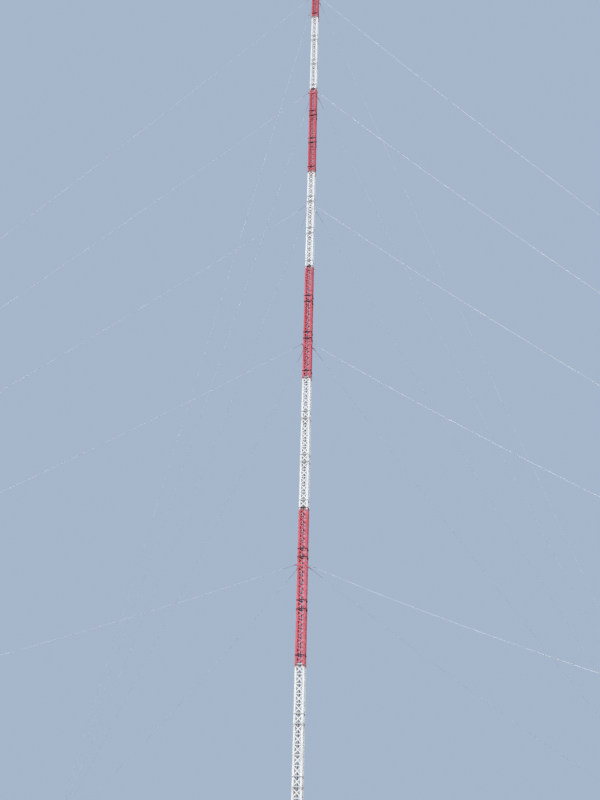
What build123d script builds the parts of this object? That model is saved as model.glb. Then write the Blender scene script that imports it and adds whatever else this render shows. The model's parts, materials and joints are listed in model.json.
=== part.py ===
from build123d import *
import os
from math import atan2, cos, degrees, radians, sin, sqrt

# Guyed square lattice mast for wind measurement, a half-size model (1:2) in millimetres.
# The origin is the middle of the underside of the concrete foundation, at ground level.
# The mast stands on a pinned foot, is painted in equal bands and is held by four sets
# of guys, which run off its corners to anchors in the ground.

os.makedirs("parts", exist_ok=True)

# Mast lattice: four angle legs, a zigzag of flat bars on each side, level ring frames
face_width = 268.0
leg_flange = 54.0
leg_thickness = 3.0
section_length = 1500.0
sections_per_band = 3
panels_per_section = 6
band_count = 8
brace_width = 30.0
brace_thickness = 3.0
brace_end_gap = 1.0
ring_width = 44.0
ring_thickness = 4.0

# Foundation and pinned foot
foundation_width = 620.0
foundation_height = 150.0
foundation_chamfer = 20.0
base_plate_width = 260.0
base_plate_thickness = 12.0
pivot_radius = 22.0
pivot_height = 60.0
gusset_foot_reach = 85.0
gusset_top_reach = 34.0
gusset_thickness = 8.0
gusset_clearance = 10.0
base_frame_thickness = 12.0
base_frame_overhang = 8.0

# Plate of the guys' lugs and of the anchors' fans, on which the guys' ends are lapped
lug_plate_thickness = 10.0

# Guy frames: square collars round the legs with a lug on each corner, one panel below a joint
guy_frame_sections = [5, 10, 14, 18, 22]
guy_frame_depth = 50.0
guy_frame_thickness = 6.0
lug_reach = 62.0
lug_tip_depth = 26.0
lug_pin_inset = 20.0

# Guys: strands with a little slack, an eye plate above and a turnbuckle below
anchor_radius = 17950.0
guy_thickness = 8.0
guy_slack = 300.0
guy_runs = 4
eye_length = 60.0
eye_width = 24.0
turnbuckle_length = 300.0
turnbuckle_width = 30.0

# Guy anchors: a concrete block, and a fan plate on a leaning shank with a foot plate
anchor_block_width = 520.0
anchor_block_height = 140.0
anchor_block_chamfer = 16.0
anchor_foot_width = 200.0
anchor_foot_thickness = 12.0
fan_lean = 45.0
fan_pin_pitch = 48.0
fan_edge = 26.0
fan_depth = 60.0
shank_width = 60.0
shank_length = 330.0

# Cable run, clipped to the inner edges of the ring frames at the back of the mast
cable_run_width = 24.0
cable_run_depth = 12.0
cable_run_offset = -25.0
cable_run_margin = 60.0

# Top plate and lightning rod
top_plate_thickness = 8.0
top_post_radius = 20.0
top_post_height = 260.0
lightning_rod_radius = 6.0
lightning_rod_height = 640.0
lightning_tip_height = 60.0
lightning_tip_radius = 3.0

# Sides that the instruments' thin round pieces are drawn with
round_sides = 12

# Instrument booms below the top, with cup anemometers at the ends of one and a vane on the other
boom_width = 24.0
anemometer_boom_drop = 300.0
anemometer_boom_reach = 1250.0
vane_boom_drop = 1050.0
vane_boom_reach = 1100.0
post_radius = 9.0
post_height = 190.0
housing_radius = 16.0
housing_height = 60.0
hub_radius = 9.0
hub_height = 16.0
cup_mouth_radius = 15.0
cup_depth = 26.0
cup_wall = 1.5
cup_tip_radius = 4.0
cup_arm_reach = 52.0
cup_arm_width = 5.0
cup_count = 3
vane_arm_length = 230.0
vane_arm_width = 8.0
vane_tail_length = 110.0
vane_tail_height = 90.0
vane_tail_taper = 30.0
vane_nose_reach = 90.0
vane_nose_radius = 11.0
vane_nose_length = 34.0

# Air sensor in its louvred screen, on a short arm on the left of the mast
sensor_section = 21
sensor_rise = 225.0
sensor_arm_width = 14.0
sensor_arm_length = 110.0
screen_radius = 38.0
screen_plate_thickness = 5.0
screen_plate_pitch = 14.0
screen_plate_count = 6
screen_core_radius = 24.0

# Worked out from the driving sizes
band_length = section_length * sections_per_band
panel_height = section_length / panels_per_section
panels_per_band = panels_per_section * sections_per_band
half_face = face_width / 2
brace_plane = half_face - leg_thickness
brace_reach = brace_plane - brace_thickness - brace_end_gap
ring_outer = 2 * (brace_plane - brace_thickness)
ring_inner = ring_outer - 2 * ring_width
mast_foot = foundation_height + base_plate_thickness + pivot_height + base_frame_thickness
mast_top = mast_foot + band_count * band_length
guy_count = len(guy_frame_sections)
collar_corner = (half_face + guy_frame_thickness) * sqrt(2)
lug_pin_radius = collar_corner + lug_reach - lug_pin_inset
lug_heel = half_face * sqrt(2) + guy_frame_thickness / 2
lap_offset = (lug_plate_thickness + guy_thickness) / 2
shank_foot = anchor_radius + shank_length * cos(radians(fan_lean))
shank_top = anchor_block_height + anchor_foot_thickness

# Turns of the mast's four diagonals from +X
diagonals = [45.0, 135.0, 225.0, 315.0]


def diagonal_plane(turn, sideways=0.0):
    """The upright plane through the mast's axis along a diagonal: x runs outwards, y up."""
    outwards = (cos(radians(turn)), sin(radians(turn)), 0)
    across = (sin(radians(turn)), -cos(radians(turn)), 0)
    origin = tuple(sideways * part for part in across)
    return Plane(origin=origin, x_dir=outwards, z_dir=across)


def anchor_plane(turn):
    """The ground under the foot of an anchor's shank, square to its diagonal."""
    outwards = (cos(radians(turn)), sin(radians(turn)), 0)
    return Plane(origin=tuple(shank_foot * part for part in outwards), x_dir=outwards)


def guy_frame_height(sections_up):
    """Middle of a guy frame, one panel below the joint on top of the given sections."""
    return mast_foot + sections_up * section_length - panel_height


def fan_centre():
    """Middle of the fan plate's row of pins, out along the diagonal and up."""
    rise = shank_top + shank_length * sin(radians(fan_lean))
    return (anchor_radius, rise)


def fan_pin(level):
    """Pin of one guy on the fan plate: the lowest guy's is nearest the mast and lowest."""
    along = (level - (guy_count - 1) / 2) * fan_pin_pitch
    out, up = fan_centre()
    return (out + along * cos(radians(fan_lean)), up + along * sin(radians(fan_lean)))


def guy_head(level):
    """Pin of one guy on its lug."""
    return (lug_pin_radius, guy_frame_height(guy_frame_sections[level]))


# Foundation block, with its upper edges broken
with BuildPart() as foundation_block:
    with BuildSketch():
        Rectangle(foundation_width, foundation_width)
    extrude(amount=foundation_height)
    chamfer(foundation_block.faces().sort_by(Axis.Z)[-1].edges(), length=foundation_chamfer)
foundation_block.part.label = "foundation_block"
export_step(foundation_block.part, "parts/foundation_block.step")

# Plate that is bolted down on the foundation
with BuildPart() as base_plate:
    with BuildSketch(Plane.XY.offset(foundation_height)):
        Rectangle(base_plate_width, base_plate_width)
    extrude(amount=base_plate_thickness)
base_plate.part.label = "base_plate"
export_step(base_plate.part, "parts/base_plate.step")

# Pinned foot: an upright pin between crossed gussets
with BuildPart() as base_pivot:
    pivot_foot = foundation_height + base_plate_thickness
    gusset_top = pivot_foot + pivot_height - gusset_clearance
    with BuildSketch(Plane.XY.offset(pivot_foot)):
        Circle(pivot_radius)
    extrude(amount=pivot_height)
    for gusset_plane in (Plane.XZ, Plane.YZ):
        with BuildSketch(gusset_plane):
            with BuildLine():
                Polyline(
                    (-gusset_foot_reach, pivot_foot),
                    (gusset_foot_reach, pivot_foot),
                    (gusset_top_reach, gusset_top),
                    (-gusset_top_reach, gusset_top),
                    close=True,
                )
            make_face()
        extrude(amount=gusset_thickness / 2, both=True)
base_pivot.part.label = "base_pivot"
export_step(base_pivot.part, "parts/base_pivot.step")

# Square plate that the four legs stand on
with BuildPart() as base_frame:
    with BuildSketch(Plane.XY.offset(mast_foot - base_frame_thickness)):
        base_frame_width = face_width + 2 * base_frame_overhang
        Rectangle(base_frame_width, base_frame_width)
    extrude(amount=base_frame_thickness)
base_frame.part.label = "base_frame"
export_step(base_frame.part, "parts/base_frame.step")

# The mast itself, band by band from the ground
for band in range(band_count):
    band_foot = mast_foot + band * band_length
    band_name = f"band_{band + 1}"

    # Four angle legs with their heels outwards
    with BuildPart() as band_legs:
        with BuildSketch(Plane.XY.offset(band_foot)):
            with Locations((half_face, half_face)):
                Rectangle(leg_flange, leg_flange, align=(Align.MAX, Align.MAX))
            with Locations((half_face - leg_thickness, half_face - leg_thickness)):
                Rectangle(leg_flange, leg_flange, align=(Align.MAX, Align.MAX), mode=Mode.SUBTRACT)
            mirror(about=Plane.YZ)
            mirror(about=Plane.XZ)
        extrude(amount=band_length)
    band_legs.part.label = f"{band_name}_legs"
    export_step(band_legs.part, f"parts/{band_name}_legs.step")

    # One side's zigzag, in a single plane against the inside of the legs' flanges
    side_plane = Plane(origin=(0, -brace_plane, band_foot), x_dir=(1, 0, 0), z_dir=(0, -1, 0))
    with BuildPart() as zigzag_side:
        with BuildSketch(side_plane):
            brace_slope = atan2(panel_height, 2 * brace_reach)
            half_cut = brace_width / 2 / cos(brace_slope)
            for panel in range(panels_per_band):
                start = -brace_reach if panel % 2 == 0 else brace_reach
                low = panel * panel_height
                high = low + panel_height
                with BuildLine():
                    Polyline(
                        (start, low - half_cut),
                        (-start, high - half_cut),
                        (-start, high + half_cut),
                        (start, low + half_cut),
                        close=True,
                    )
                make_face()
            with Locations((0, band_length / 2)):
                Rectangle(2 * brace_reach, band_length, mode=Mode.INTERSECT)
        extrude(amount=-brace_thickness)
    with BuildPart() as band_bracing:
        with PolarLocations(0, 4):
            add(zigzag_side.part)
    band_bracing.part.label = f"{band_name}_bracing"
    export_step(band_bracing.part, f"parts/{band_name}_bracing.step")

    # Two ring frames of level flat bar to a section: at its joint and one panel above
    with BuildPart() as band_rings:
        for section in range(sections_per_band):
            joint = band_foot + section * section_length
            for ring_foot in (joint, joint + panel_height - ring_thickness / 2):
                with BuildSketch(Plane.XY.offset(ring_foot)):
                    Rectangle(ring_outer, ring_outer)
                    Rectangle(ring_inner, ring_inner, mode=Mode.SUBTRACT)
                extrude(amount=ring_thickness)
    band_rings.part.label = f"{band_name}_rings"
    export_step(band_rings.part, f"parts/{band_name}_rings.step")

# Guy frames: a collar of flat bar round the legs, and a lug on each corner
for level, sections_up in enumerate(guy_frame_sections):
    frame_middle = guy_frame_height(sections_up)
    with BuildPart() as guy_frame:
        with BuildSketch(Plane.XY.offset(frame_middle - guy_frame_depth / 2)):
            collar_width = face_width + 2 * guy_frame_thickness
            Rectangle(collar_width, collar_width)
            Rectangle(face_width, face_width, mode=Mode.SUBTRACT)
        extrude(amount=guy_frame_depth)
        for turn in diagonals:
            with BuildSketch(diagonal_plane(turn)):
                with BuildLine():
                    lug_tip = collar_corner + lug_reach
                    Polyline(
                        (lug_heel, frame_middle + guy_frame_depth / 2),
                        (lug_tip, frame_middle + lug_tip_depth / 2),
                        (lug_tip, frame_middle - lug_tip_depth / 2),
                        (lug_heel, frame_middle - guy_frame_depth / 2),
                        close=True,
                    )
                make_face()
            extrude(amount=lug_plate_thickness / 2, both=True)
    guy_frame.part.label = f"guy_frame_{level + 1}"
    export_step(guy_frame.part, f"parts/guy_frame_{level + 1}.step")

# Guys, four to a level, each lapped on its lug above and on the fan plate below
with BuildPart() as guys:
    for level in range(guy_count):
        head_out, head_up = guy_head(level)
        foot_out, foot_up = fan_pin(level)

        # The slack hangs as a parabola, drawn as a few straight runs
        upper_edge = []
        lower_edge = []
        slope = atan2(head_up - foot_up, foot_out - head_out)
        for run in range(guy_runs + 1):
            share = run / guy_runs
            out = head_out + (foot_out - head_out) * share
            hang = 4 * guy_slack * share * (1 - share)
            up = head_up + (foot_up - head_up) * share - hang
            half_out = guy_thickness / 2 * sin(slope)
            half_up = guy_thickness / 2 * cos(slope)
            upper_edge.append((out + half_out, up + half_up))
            lower_edge.append((out - half_out, up - half_up))

        # The end runs give the lean of the eye plate and of the turnbuckle
        run_out = (foot_out - head_out) / guy_runs
        run_fall = (head_up - foot_up) / guy_runs
        end_hang = 4 * guy_slack * (1 / guy_runs) * (1 - 1 / guy_runs)
        head_lean = -degrees(atan2(run_fall + end_hang, run_out))
        foot_lean = -degrees(atan2(run_fall - end_hang, run_out))
        inboard = eye_length / 2 + turnbuckle_length / 2
        buckle_out = foot_out - inboard * cos(radians(foot_lean))
        buckle_up = foot_up - inboard * sin(radians(foot_lean))

        for turn in diagonals:
            with BuildSketch(diagonal_plane(turn, lap_offset)):
                with BuildLine():
                    Polyline(*upper_edge, *reversed(lower_edge), close=True)
                make_face()
                with Locations((head_out, head_up)):
                    Rectangle(eye_length, eye_width, rotation=head_lean)
                with Locations((foot_out, foot_up)):
                    Rectangle(eye_length, eye_width, rotation=foot_lean)
                with Locations((buckle_out, buckle_up)):
                    Rectangle(turnbuckle_length, turnbuckle_width, rotation=foot_lean)
            extrude(amount=guy_thickness / 2, both=True)
guys.part.label = "guys"
export_step(guys.part, "parts/guys.step")

# Concrete blocks of the guy anchors, one on each diagonal
with BuildPart() as anchor_blocks:
    for turn in diagonals:
        with BuildSketch(anchor_plane(turn)):
            Rectangle(anchor_block_width, anchor_block_width)
        extrude(amount=anchor_block_height)
    block_tops = anchor_blocks.faces().filter_by_position(Axis.Z, anchor_block_height, anchor_block_height)
    chamfer(block_tops.edges(), length=anchor_block_chamfer)
anchor_blocks.part.label = "anchor_blocks"
export_step(anchor_blocks.part, "parts/anchor_blocks.step")

# Foot plate on each block, and the shank that leans to the mast and carries the fan
with BuildPart() as anchor_plates:
    fan_out, fan_up = fan_centre()
    fan_length = (guy_count - 1) * fan_pin_pitch + 2 * fan_edge
    for turn in diagonals:
        with BuildSketch(anchor_plane(turn).offset(anchor_block_height)):
            Rectangle(anchor_foot_width, anchor_foot_width)
        extrude(amount=anchor_foot_thickness)
        with BuildSketch(diagonal_plane(turn)):
            with Locations((fan_out, fan_up)):
                Rectangle(fan_length, fan_depth, rotation=fan_lean)
            with Locations(((fan_out + shank_foot) / 2, (fan_up + shank_top) / 2)):
                Rectangle(shank_length + shank_width, shank_width, rotation=-fan_lean)
            with Locations((shank_foot, shank_top)):
                ground_cut = shank_length
                Rectangle(2 * ground_cut, ground_cut, align=(Align.CENTER, Align.MAX), mode=Mode.SUBTRACT)
        extrude(amount=lug_plate_thickness / 2, both=True)
anchor_plates.part.label = "anchor_plates"
export_step(anchor_plates.part, "parts/anchor_plates.step")

# Cable run up the back of the mast, along the inner edges of the ring frames
with BuildPart() as cable_run:
    with BuildSketch(Plane.XY.offset(mast_foot)):
        with Locations((cable_run_offset, ring_inner / 2)):
            Rectangle(cable_run_width, cable_run_depth, align=(Align.CENTER, Align.MAX))
    extrude(amount=band_count * band_length - cable_run_margin)
cable_run.part.label = "cable_run"
export_step(cable_run.part, "parts/cable_run.step")

# Plate that closes the top of the mast
with BuildPart() as top_plate:
    with BuildSketch(Plane.XY.offset(mast_top)):
        Rectangle(face_width, face_width)
    extrude(amount=top_plate_thickness)
top_plate.part.label = "top_plate"
export_step(top_plate.part, "parts/top_plate.step")

# Post and lightning rod, turned in one profile that steps down to a thin tip
with BuildPart() as lightning_rod:
    rod_foot = mast_top + top_plate_thickness
    rod_shoulder = rod_foot + top_post_height
    rod_tip = rod_shoulder + lightning_rod_height
    with BuildSketch(Plane.XZ):
        with BuildLine():
            Polyline(
                (0, rod_foot),
                (top_post_radius, rod_foot),
                (top_post_radius, rod_shoulder),
                (lightning_rod_radius, rod_shoulder),
                (lightning_rod_radius, rod_tip - lightning_tip_height),
                (lightning_tip_radius, rod_tip - lightning_tip_height),
                (lightning_tip_radius, rod_tip),
                (0, rod_tip),
                close=True,
            )
        make_face()
    revolve(axis=Axis.Z)
lightning_rod.part.label = "lightning_rod"
export_step(lightning_rod.part, "parts/lightning_rod.step")

# Boom across the front of the mast, carrying a post at each end
boom_y = -half_face - boom_width / 2
anemometer_boom_z = mast_top - anemometer_boom_drop
with BuildPart() as anemometer_boom:
    with BuildSketch(Plane.YZ):
        with Locations((boom_y, anemometer_boom_z)):
            Rectangle(boom_width, boom_width)
    extrude(amount=anemometer_boom_reach, both=True)
anemometer_boom.part.label = "anemometer_boom"
export_step(anemometer_boom.part, "parts/anemometer_boom.step")

# Boom out to the right behind the mast, carrying the vane's post
vane_boom_z = mast_top - vane_boom_drop
with BuildPart() as vane_boom:
    with BuildSketch(Plane.YZ.offset(-half_face)):
        with Locations((-boom_y, vane_boom_z)):
            Rectangle(boom_width, boom_width)
    extrude(amount=half_face + vane_boom_reach)
vane_boom.part.label = "vane_boom"
export_step(vane_boom.part, "parts/vane_boom.step")


def round_stack(x, y, foot, steps):
    """Extrude a stack of round steps, each (radius, height), into the open part."""
    for radius, height in steps:
        with BuildSketch(Plane(origin=(x, y, foot))) as step:
            RegularPolygon(radius=radius, side_count=round_sides)
        extrude(step.sketch, amount=height)
        foot += height


# Cup anemometers: a post with its housing and hub, arms and thin conical cups
post_and_housing = [(post_radius, post_height), (housing_radius, housing_height)]
post_x = anemometer_boom_reach - housing_radius
post_foot = anemometer_boom_z + boom_width / 2
rotor_low = post_foot + post_height + housing_height
arm_z = rotor_low + hub_height / 2
with BuildPart() as anemometers:
    for middle_x in (-post_x, post_x):
        round_stack(middle_x, boom_y, post_foot, [*post_and_housing, (hub_radius, hub_height)])
        for cup in range(cup_count):
            turn = radians(360 / cup_count * cup)
            arm_dir = (cos(turn), sin(turn), 0)
            arm_plane = Plane(origin=(middle_x, boom_y, arm_z), x_dir=(0, 0, 1), z_dir=arm_dir)
            with BuildSketch(arm_plane):
                Rectangle(cup_arm_width, cup_arm_width)
            extrude(amount=cup_arm_reach)
            # Each cup is a thin cone with its mouth square to the way it travels
            cup_out = cup_arm_reach + cup_mouth_radius / 2
            cup_origin = (middle_x + cup_out * cos(turn), boom_y + cup_out * sin(turn), arm_z)
            mouth = Plane(origin=cup_origin, x_dir=arm_dir, z_dir=(-sin(turn), cos(turn), 0))
            with BuildSketch(mouth):
                RegularPolygon(radius=cup_mouth_radius, side_count=round_sides)
            with BuildSketch(mouth.offset(cup_depth)):
                RegularPolygon(radius=cup_tip_radius, side_count=round_sides)
            loft()
            with BuildSketch(mouth):
                RegularPolygon(radius=cup_mouth_radius - cup_wall, side_count=round_sides)
            with BuildSketch(mouth.offset(cup_depth - cup_wall)):
                RegularPolygon(radius=cup_tip_radius - cup_wall, side_count=round_sides)
            loft(mode=Mode.SUBTRACT)
anemometers.part.label = "anemometers"
export_step(anemometers.part, "parts/anemometers.step")

# Wind vane: the same post, with a nose weight in front and a tapered tail behind
vane_x = vane_boom_reach - housing_radius
vane_y = -boom_y
vane_foot = vane_boom_z + boom_width / 2
vane_arm_z = vane_foot + post_height + housing_height + vane_arm_width / 2
with BuildPart() as wind_vane:
    round_stack(vane_x, vane_y, vane_foot, post_and_housing)
    with BuildSketch(Plane(origin=(vane_x, vane_y, 0), x_dir=(0, 1, 0), z_dir=(1, 0, 0))):
        with Locations((-vane_nose_reach, vane_arm_z)):
            Rectangle(vane_nose_reach + vane_arm_length, vane_arm_width, align=(Align.MIN, Align.CENTER))
        with BuildLine():
            tail_start = vane_arm_length - vane_tail_length
            Polyline(
                (tail_start + vane_tail_taper, vane_arm_z - vane_arm_width / 2),
                (tail_start, vane_arm_z + vane_arm_width / 2),
                (tail_start + vane_tail_taper, vane_arm_z + vane_tail_height),
                (vane_arm_length, vane_arm_z + vane_tail_height),
                (vane_arm_length, vane_arm_z - vane_arm_width / 2),
                close=True,
            )
        make_face()
    extrude(amount=vane_arm_width / 2, both=True)
    nose_plane = Plane(origin=(vane_x, vane_y - vane_nose_reach, vane_arm_z), x_dir=(1, 0, 0), z_dir=(0, 1, 0))
    with BuildSketch(nose_plane):
        RegularPolygon(radius=vane_nose_radius, side_count=round_sides)
    extrude(amount=vane_nose_length)
wind_vane.part.label = "wind_vane"
export_step(wind_vane.part, "parts/wind_vane.step")

# Air sensor: a short arm off the left side, and a louvred screen of stacked plates
with BuildPart() as air_sensor:
    sensor_y = -half_face + leg_flange / 2
    sensor_z = mast_foot + sensor_section * section_length + sensor_rise
    with BuildSketch(Plane.YZ.offset(-half_face)):
        with Locations((sensor_y, sensor_z)):
            Rectangle(sensor_arm_width, sensor_arm_width)
    extrude(amount=-sensor_arm_length)
    screen_origin = (-half_face - sensor_arm_length, sensor_y)
    screen_low = sensor_z - sensor_arm_width / 2
    screen_height = (screen_plate_count - 1) * screen_plate_pitch + screen_plate_thickness
    with BuildSketch(Plane(origin=(*screen_origin, screen_low))):
        RegularPolygon(radius=screen_core_radius, side_count=round_sides)
    extrude(amount=-screen_height)
    for plate in range(screen_plate_count):
        with BuildSketch(Plane(origin=(*screen_origin, screen_low - plate * screen_plate_pitch))):
            RegularPolygon(radius=screen_radius, side_count=round_sides)
        extrude(amount=-screen_plate_thickness)
air_sensor.part.label = "air_sensor"
export_step(air_sensor.part, "parts/air_sensor.step")
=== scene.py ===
"""Looks for the half-size wind measurement mast.

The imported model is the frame: lengths are in metres, +Z is up, and the origin is the middle
of the underside of the concrete foundation. Every class below makes one sub-assembly of the
mast from its own named sizes, and places it by the sizes that MastSizes reads off the frame.
"""

import json
import logging
import math
import random
from collections.abc import Callable
from dataclasses import dataclass
from enum import Enum
from functools import cached_property
from itertools import product
from typing import NamedTuple

import bmesh
import bpy
from mathutils import Matrix, Vector

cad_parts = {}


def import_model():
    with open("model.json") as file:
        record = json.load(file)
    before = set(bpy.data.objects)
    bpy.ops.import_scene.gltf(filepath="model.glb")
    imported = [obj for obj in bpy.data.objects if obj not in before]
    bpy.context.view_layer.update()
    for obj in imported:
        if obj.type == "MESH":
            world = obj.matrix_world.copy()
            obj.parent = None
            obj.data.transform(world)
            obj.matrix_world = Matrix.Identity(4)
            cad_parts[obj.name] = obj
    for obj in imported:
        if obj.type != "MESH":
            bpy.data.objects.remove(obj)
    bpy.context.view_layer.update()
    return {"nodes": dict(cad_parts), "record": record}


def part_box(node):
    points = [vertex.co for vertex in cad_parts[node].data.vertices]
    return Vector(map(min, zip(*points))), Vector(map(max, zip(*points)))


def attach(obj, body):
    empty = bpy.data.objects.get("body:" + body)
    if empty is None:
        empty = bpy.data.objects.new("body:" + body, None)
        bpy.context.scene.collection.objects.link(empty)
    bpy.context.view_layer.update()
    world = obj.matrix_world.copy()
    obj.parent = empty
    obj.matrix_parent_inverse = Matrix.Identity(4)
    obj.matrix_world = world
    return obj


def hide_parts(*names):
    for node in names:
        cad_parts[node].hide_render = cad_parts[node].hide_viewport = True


log = logging.getLogger("mast")

BMesh = bmesh.types.BMesh
Vert = bmesh.types.BMVert
Edge = bmesh.types.BMEdge
Face = bmesh.types.BMFace
Mesh = bpy.types.Mesh
Material = bpy.types.Material
Socket = bpy.types.NodeSocket
Colour = tuple[float, float, float]
Profile = tuple[tuple[float, float], ...]

ROOT = "root"
LAY = "lay"
SEED = 21
DIAGONAL = math.sqrt(2)
AXIS_X = Vector((1, 0, 0))
AXIS_Y = Vector((0, 1, 0))
AXIS_Z = Vector((0, 0, 1))
MERGE_DISTANCE = 1e-6
BEAD_PITCH = 0.005
BEAD_SWELL = (0.82, 1.12)
BEAD_END = 0.6
STEEP = 0.9
SCREW_RADIUS = 0.0034
SCREW_HEIGHT = 0.0026
SCREW_EDGE = 0.0004
MIX_INPUTS = (0, 6, 7)
MIX_OUTPUT = 2


class Slot(Enum):
    """The record's material slots."""

    PAINT_RED = "paint_red"
    PAINT_WHITE = "paint_white"
    GALVANISED = "galvanised_steel"
    STRAND = "guy_strand"
    CONCRETE = "concrete"
    CABLE = "cable_black"
    ALUMINIUM = "boom_aluminium"
    INSTRUMENT = "instrument_dark"
    SCREEN = "screen_white"


class Corner(Enum):
    """Corners of the mast, by the turn of their diagonal from +X in degrees."""

    BACK_RIGHT = 45.0
    BACK_LEFT = 135.0
    FRONT_LEFT = 225.0
    FRONT_RIGHT = 315.0

    @property
    def frame(self) -> Matrix:
        """The turn that lays +X along the corner's diagonal."""
        return turn(self.value)

    @property
    def across(self) -> Vector:
        """The direction square to the corner's diagonal plane."""
        return self.frame @ -AXIS_Y

    def lift(self, point: Vector) -> Vector:
        """A point (outwards, upwards) of the corner's diagonal plane, in space."""
        angle = math.radians(self.value)
        return Vector((point.x * math.cos(angle), point.x * math.sin(angle), point.y))


class Grain(NamedTuple):
    """Soft noise: about how many patches to the metre, its finer layers, and how strong they are."""

    scale: float
    detail: float = 3.0
    roughness: float = 0.5


class Step(NamedTuple):
    """A smooth step: the values where it starts and ends, and the results below and above it."""

    low: float
    high: float
    start: float = 0.0
    end: float = 1.0


class NodeSheet:
    """The node tree of a material or a world, with short calls for the few nodes in use."""

    def __init__(self, owner: Material | bpy.types.World) -> None:
        """Opens the node tree of its owner.

        Args:
            owner: the material or world.
        """
        owner.use_nodes = True
        self.owner = owner
        self.tree = owner.node_tree
        self.shader = self.tree.nodes.get("Principled BSDF")

    @cached_property
    def position(self) -> Socket:
        """The object's own coordinates."""
        return self.add("TexCoord").outputs["Object"]

    def add(self, kind: str, inputs: dict | None = None, **settings: object) -> bpy.types.Node:
        """Adds a node.

        Args:
            kind: the node's type, past "ShaderNode".
            inputs: links and constants for its inputs, as feed() takes them.
            settings: values for the node's own properties.

        Returns:
            The new node.
        """
        node = self.tree.nodes.new("ShaderNode" + kind)
        for key, value in settings.items():
            setattr(node, key, value)
        self.feed(node, inputs or {})
        return node

    def feed(self, node: bpy.types.Node, inputs: dict) -> None:
        """Gives a node's inputs their links and constants.

        Args:
            node: the node.
            inputs: another node's output, a number or a colour, by the input's name or number.
        """
        for key, value in inputs.items():
            socket = node.inputs[key]
            if isinstance(value, Socket):
                self.tree.links.new(value, socket)
            elif isinstance(value, tuple) and socket.type == "RGBA":
                socket.default_value = (*value, 1.0)
            else:
                socket.default_value = value

    def stretched(self, scale: tuple[float, float, float]) -> Socket:
        """The object's coordinates, scaled by axis, for a pattern that runs one way."""
        return self.add("Mapping", {"Vector": self.position, "Scale": scale}).outputs["Vector"]

    def noise(self, grain: Grain, where: Socket | None = None) -> Socket:
        """Soft noise from 0 to 1, on some coordinates or on the object's own."""
        inputs = dict(zip(("Vector", "Scale", "Detail", "Roughness"), (where or self.position, *grain)))
        return self.add("TexNoise", inputs).outputs["Fac"]

    def cells(self, scale: float, output: str = "Distance") -> Socket:
        """Cells of a Voronoi pattern: their "Distance" or a "Color" for each."""
        return self.add("TexVoronoi", {"Vector": self.position, "Scale": scale}).outputs[output]

    def split(self, vector: Socket) -> bpy.types.bpy_prop_collection:
        """A vector's X, Y and Z, as a node's outputs."""
        return self.add("SeparateXYZ", {"Vector": vector}).outputs

    def ramp(self, value: Socket, step: Step) -> Socket:
        """A smooth step of a value."""
        inputs = dict(zip(("Value", "From Min", "From Max", "To Min", "To Max"), (value, *step)))
        return self.add("MapRange", inputs, interpolation_type="SMOOTHSTEP").outputs["Result"]

    def calc(self, operation: str, first: object, second: object = 0.0) -> Socket:
        """One step of arithmetic on one or two values."""
        return self.add("Math", {0: first, 1: second}, operation=operation).outputs["Value"]

    def height(self) -> Socket:
        """The object's Z coordinate."""
        return self.split(self.position)["Z"]

    def reach(self) -> Socket:
        """The larger of the distances from the axis along X and along Y."""
        parts = self.split(self.position)
        return self.calc("MAXIMUM", self.calc("ABSOLUTE", parts["X"]), self.calc("ABSOLUTE", parts["Y"]))

    def lay(self, under: object, over: object, share: object, mode: str = "MIX") -> Socket:
        """One colour laid over another, by a share and a blend mode."""
        inputs = dict(zip(MIX_INPUTS, (share, under, over)))
        return self.add("Mix", inputs, data_type="RGBA", blend_type=mode).outputs[MIX_OUTPUT]

    def patched(self, under: object, over: object, pattern: Socket, step: Step) -> Socket:
        """One colour laid over another where a pattern lies past a smooth step."""
        return self.lay(under, over, self.ramp(pattern, step))

    def toned(self, colour: Socket, pattern: Socket, step: Step) -> Socket:
        """A colour made darker and lighter by a pattern."""
        return self.lay(colour, self.ramp(pattern, step), 1.0, "MULTIPLY")

    def finish(
        self, colour: Socket, roughness: object, height: Socket, relief: tuple[float, float], **shader: float
    ) -> Material:
        """Joins the patterns to the shader.

        Args:
            colour: base colour.
            roughness: roughness of the surface.
            height: relief, from 0 to 1.
            relief: how deep that relief is, in metres, and how strongly it shows.
            shader: constants for the shader's own sockets, by name with _ for a space.

        Returns:
            The material.
        """
        bump = self.add("Bump", {"Height": height, "Distance": relief[0], "Strength": relief[1]})
        inputs = {"Normal": bump.outputs["Normal"], "Base Color": colour, "Roughness": roughness}
        self.feed(self.shader, inputs | {name.replace("_", " "): value for name, value in shader.items()})
        return self.owner


def material_sheet(name: str) -> NodeSheet:
    """The node tree of a new material."""
    return NodeSheet(bpy.data.materials.new(name))


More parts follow.
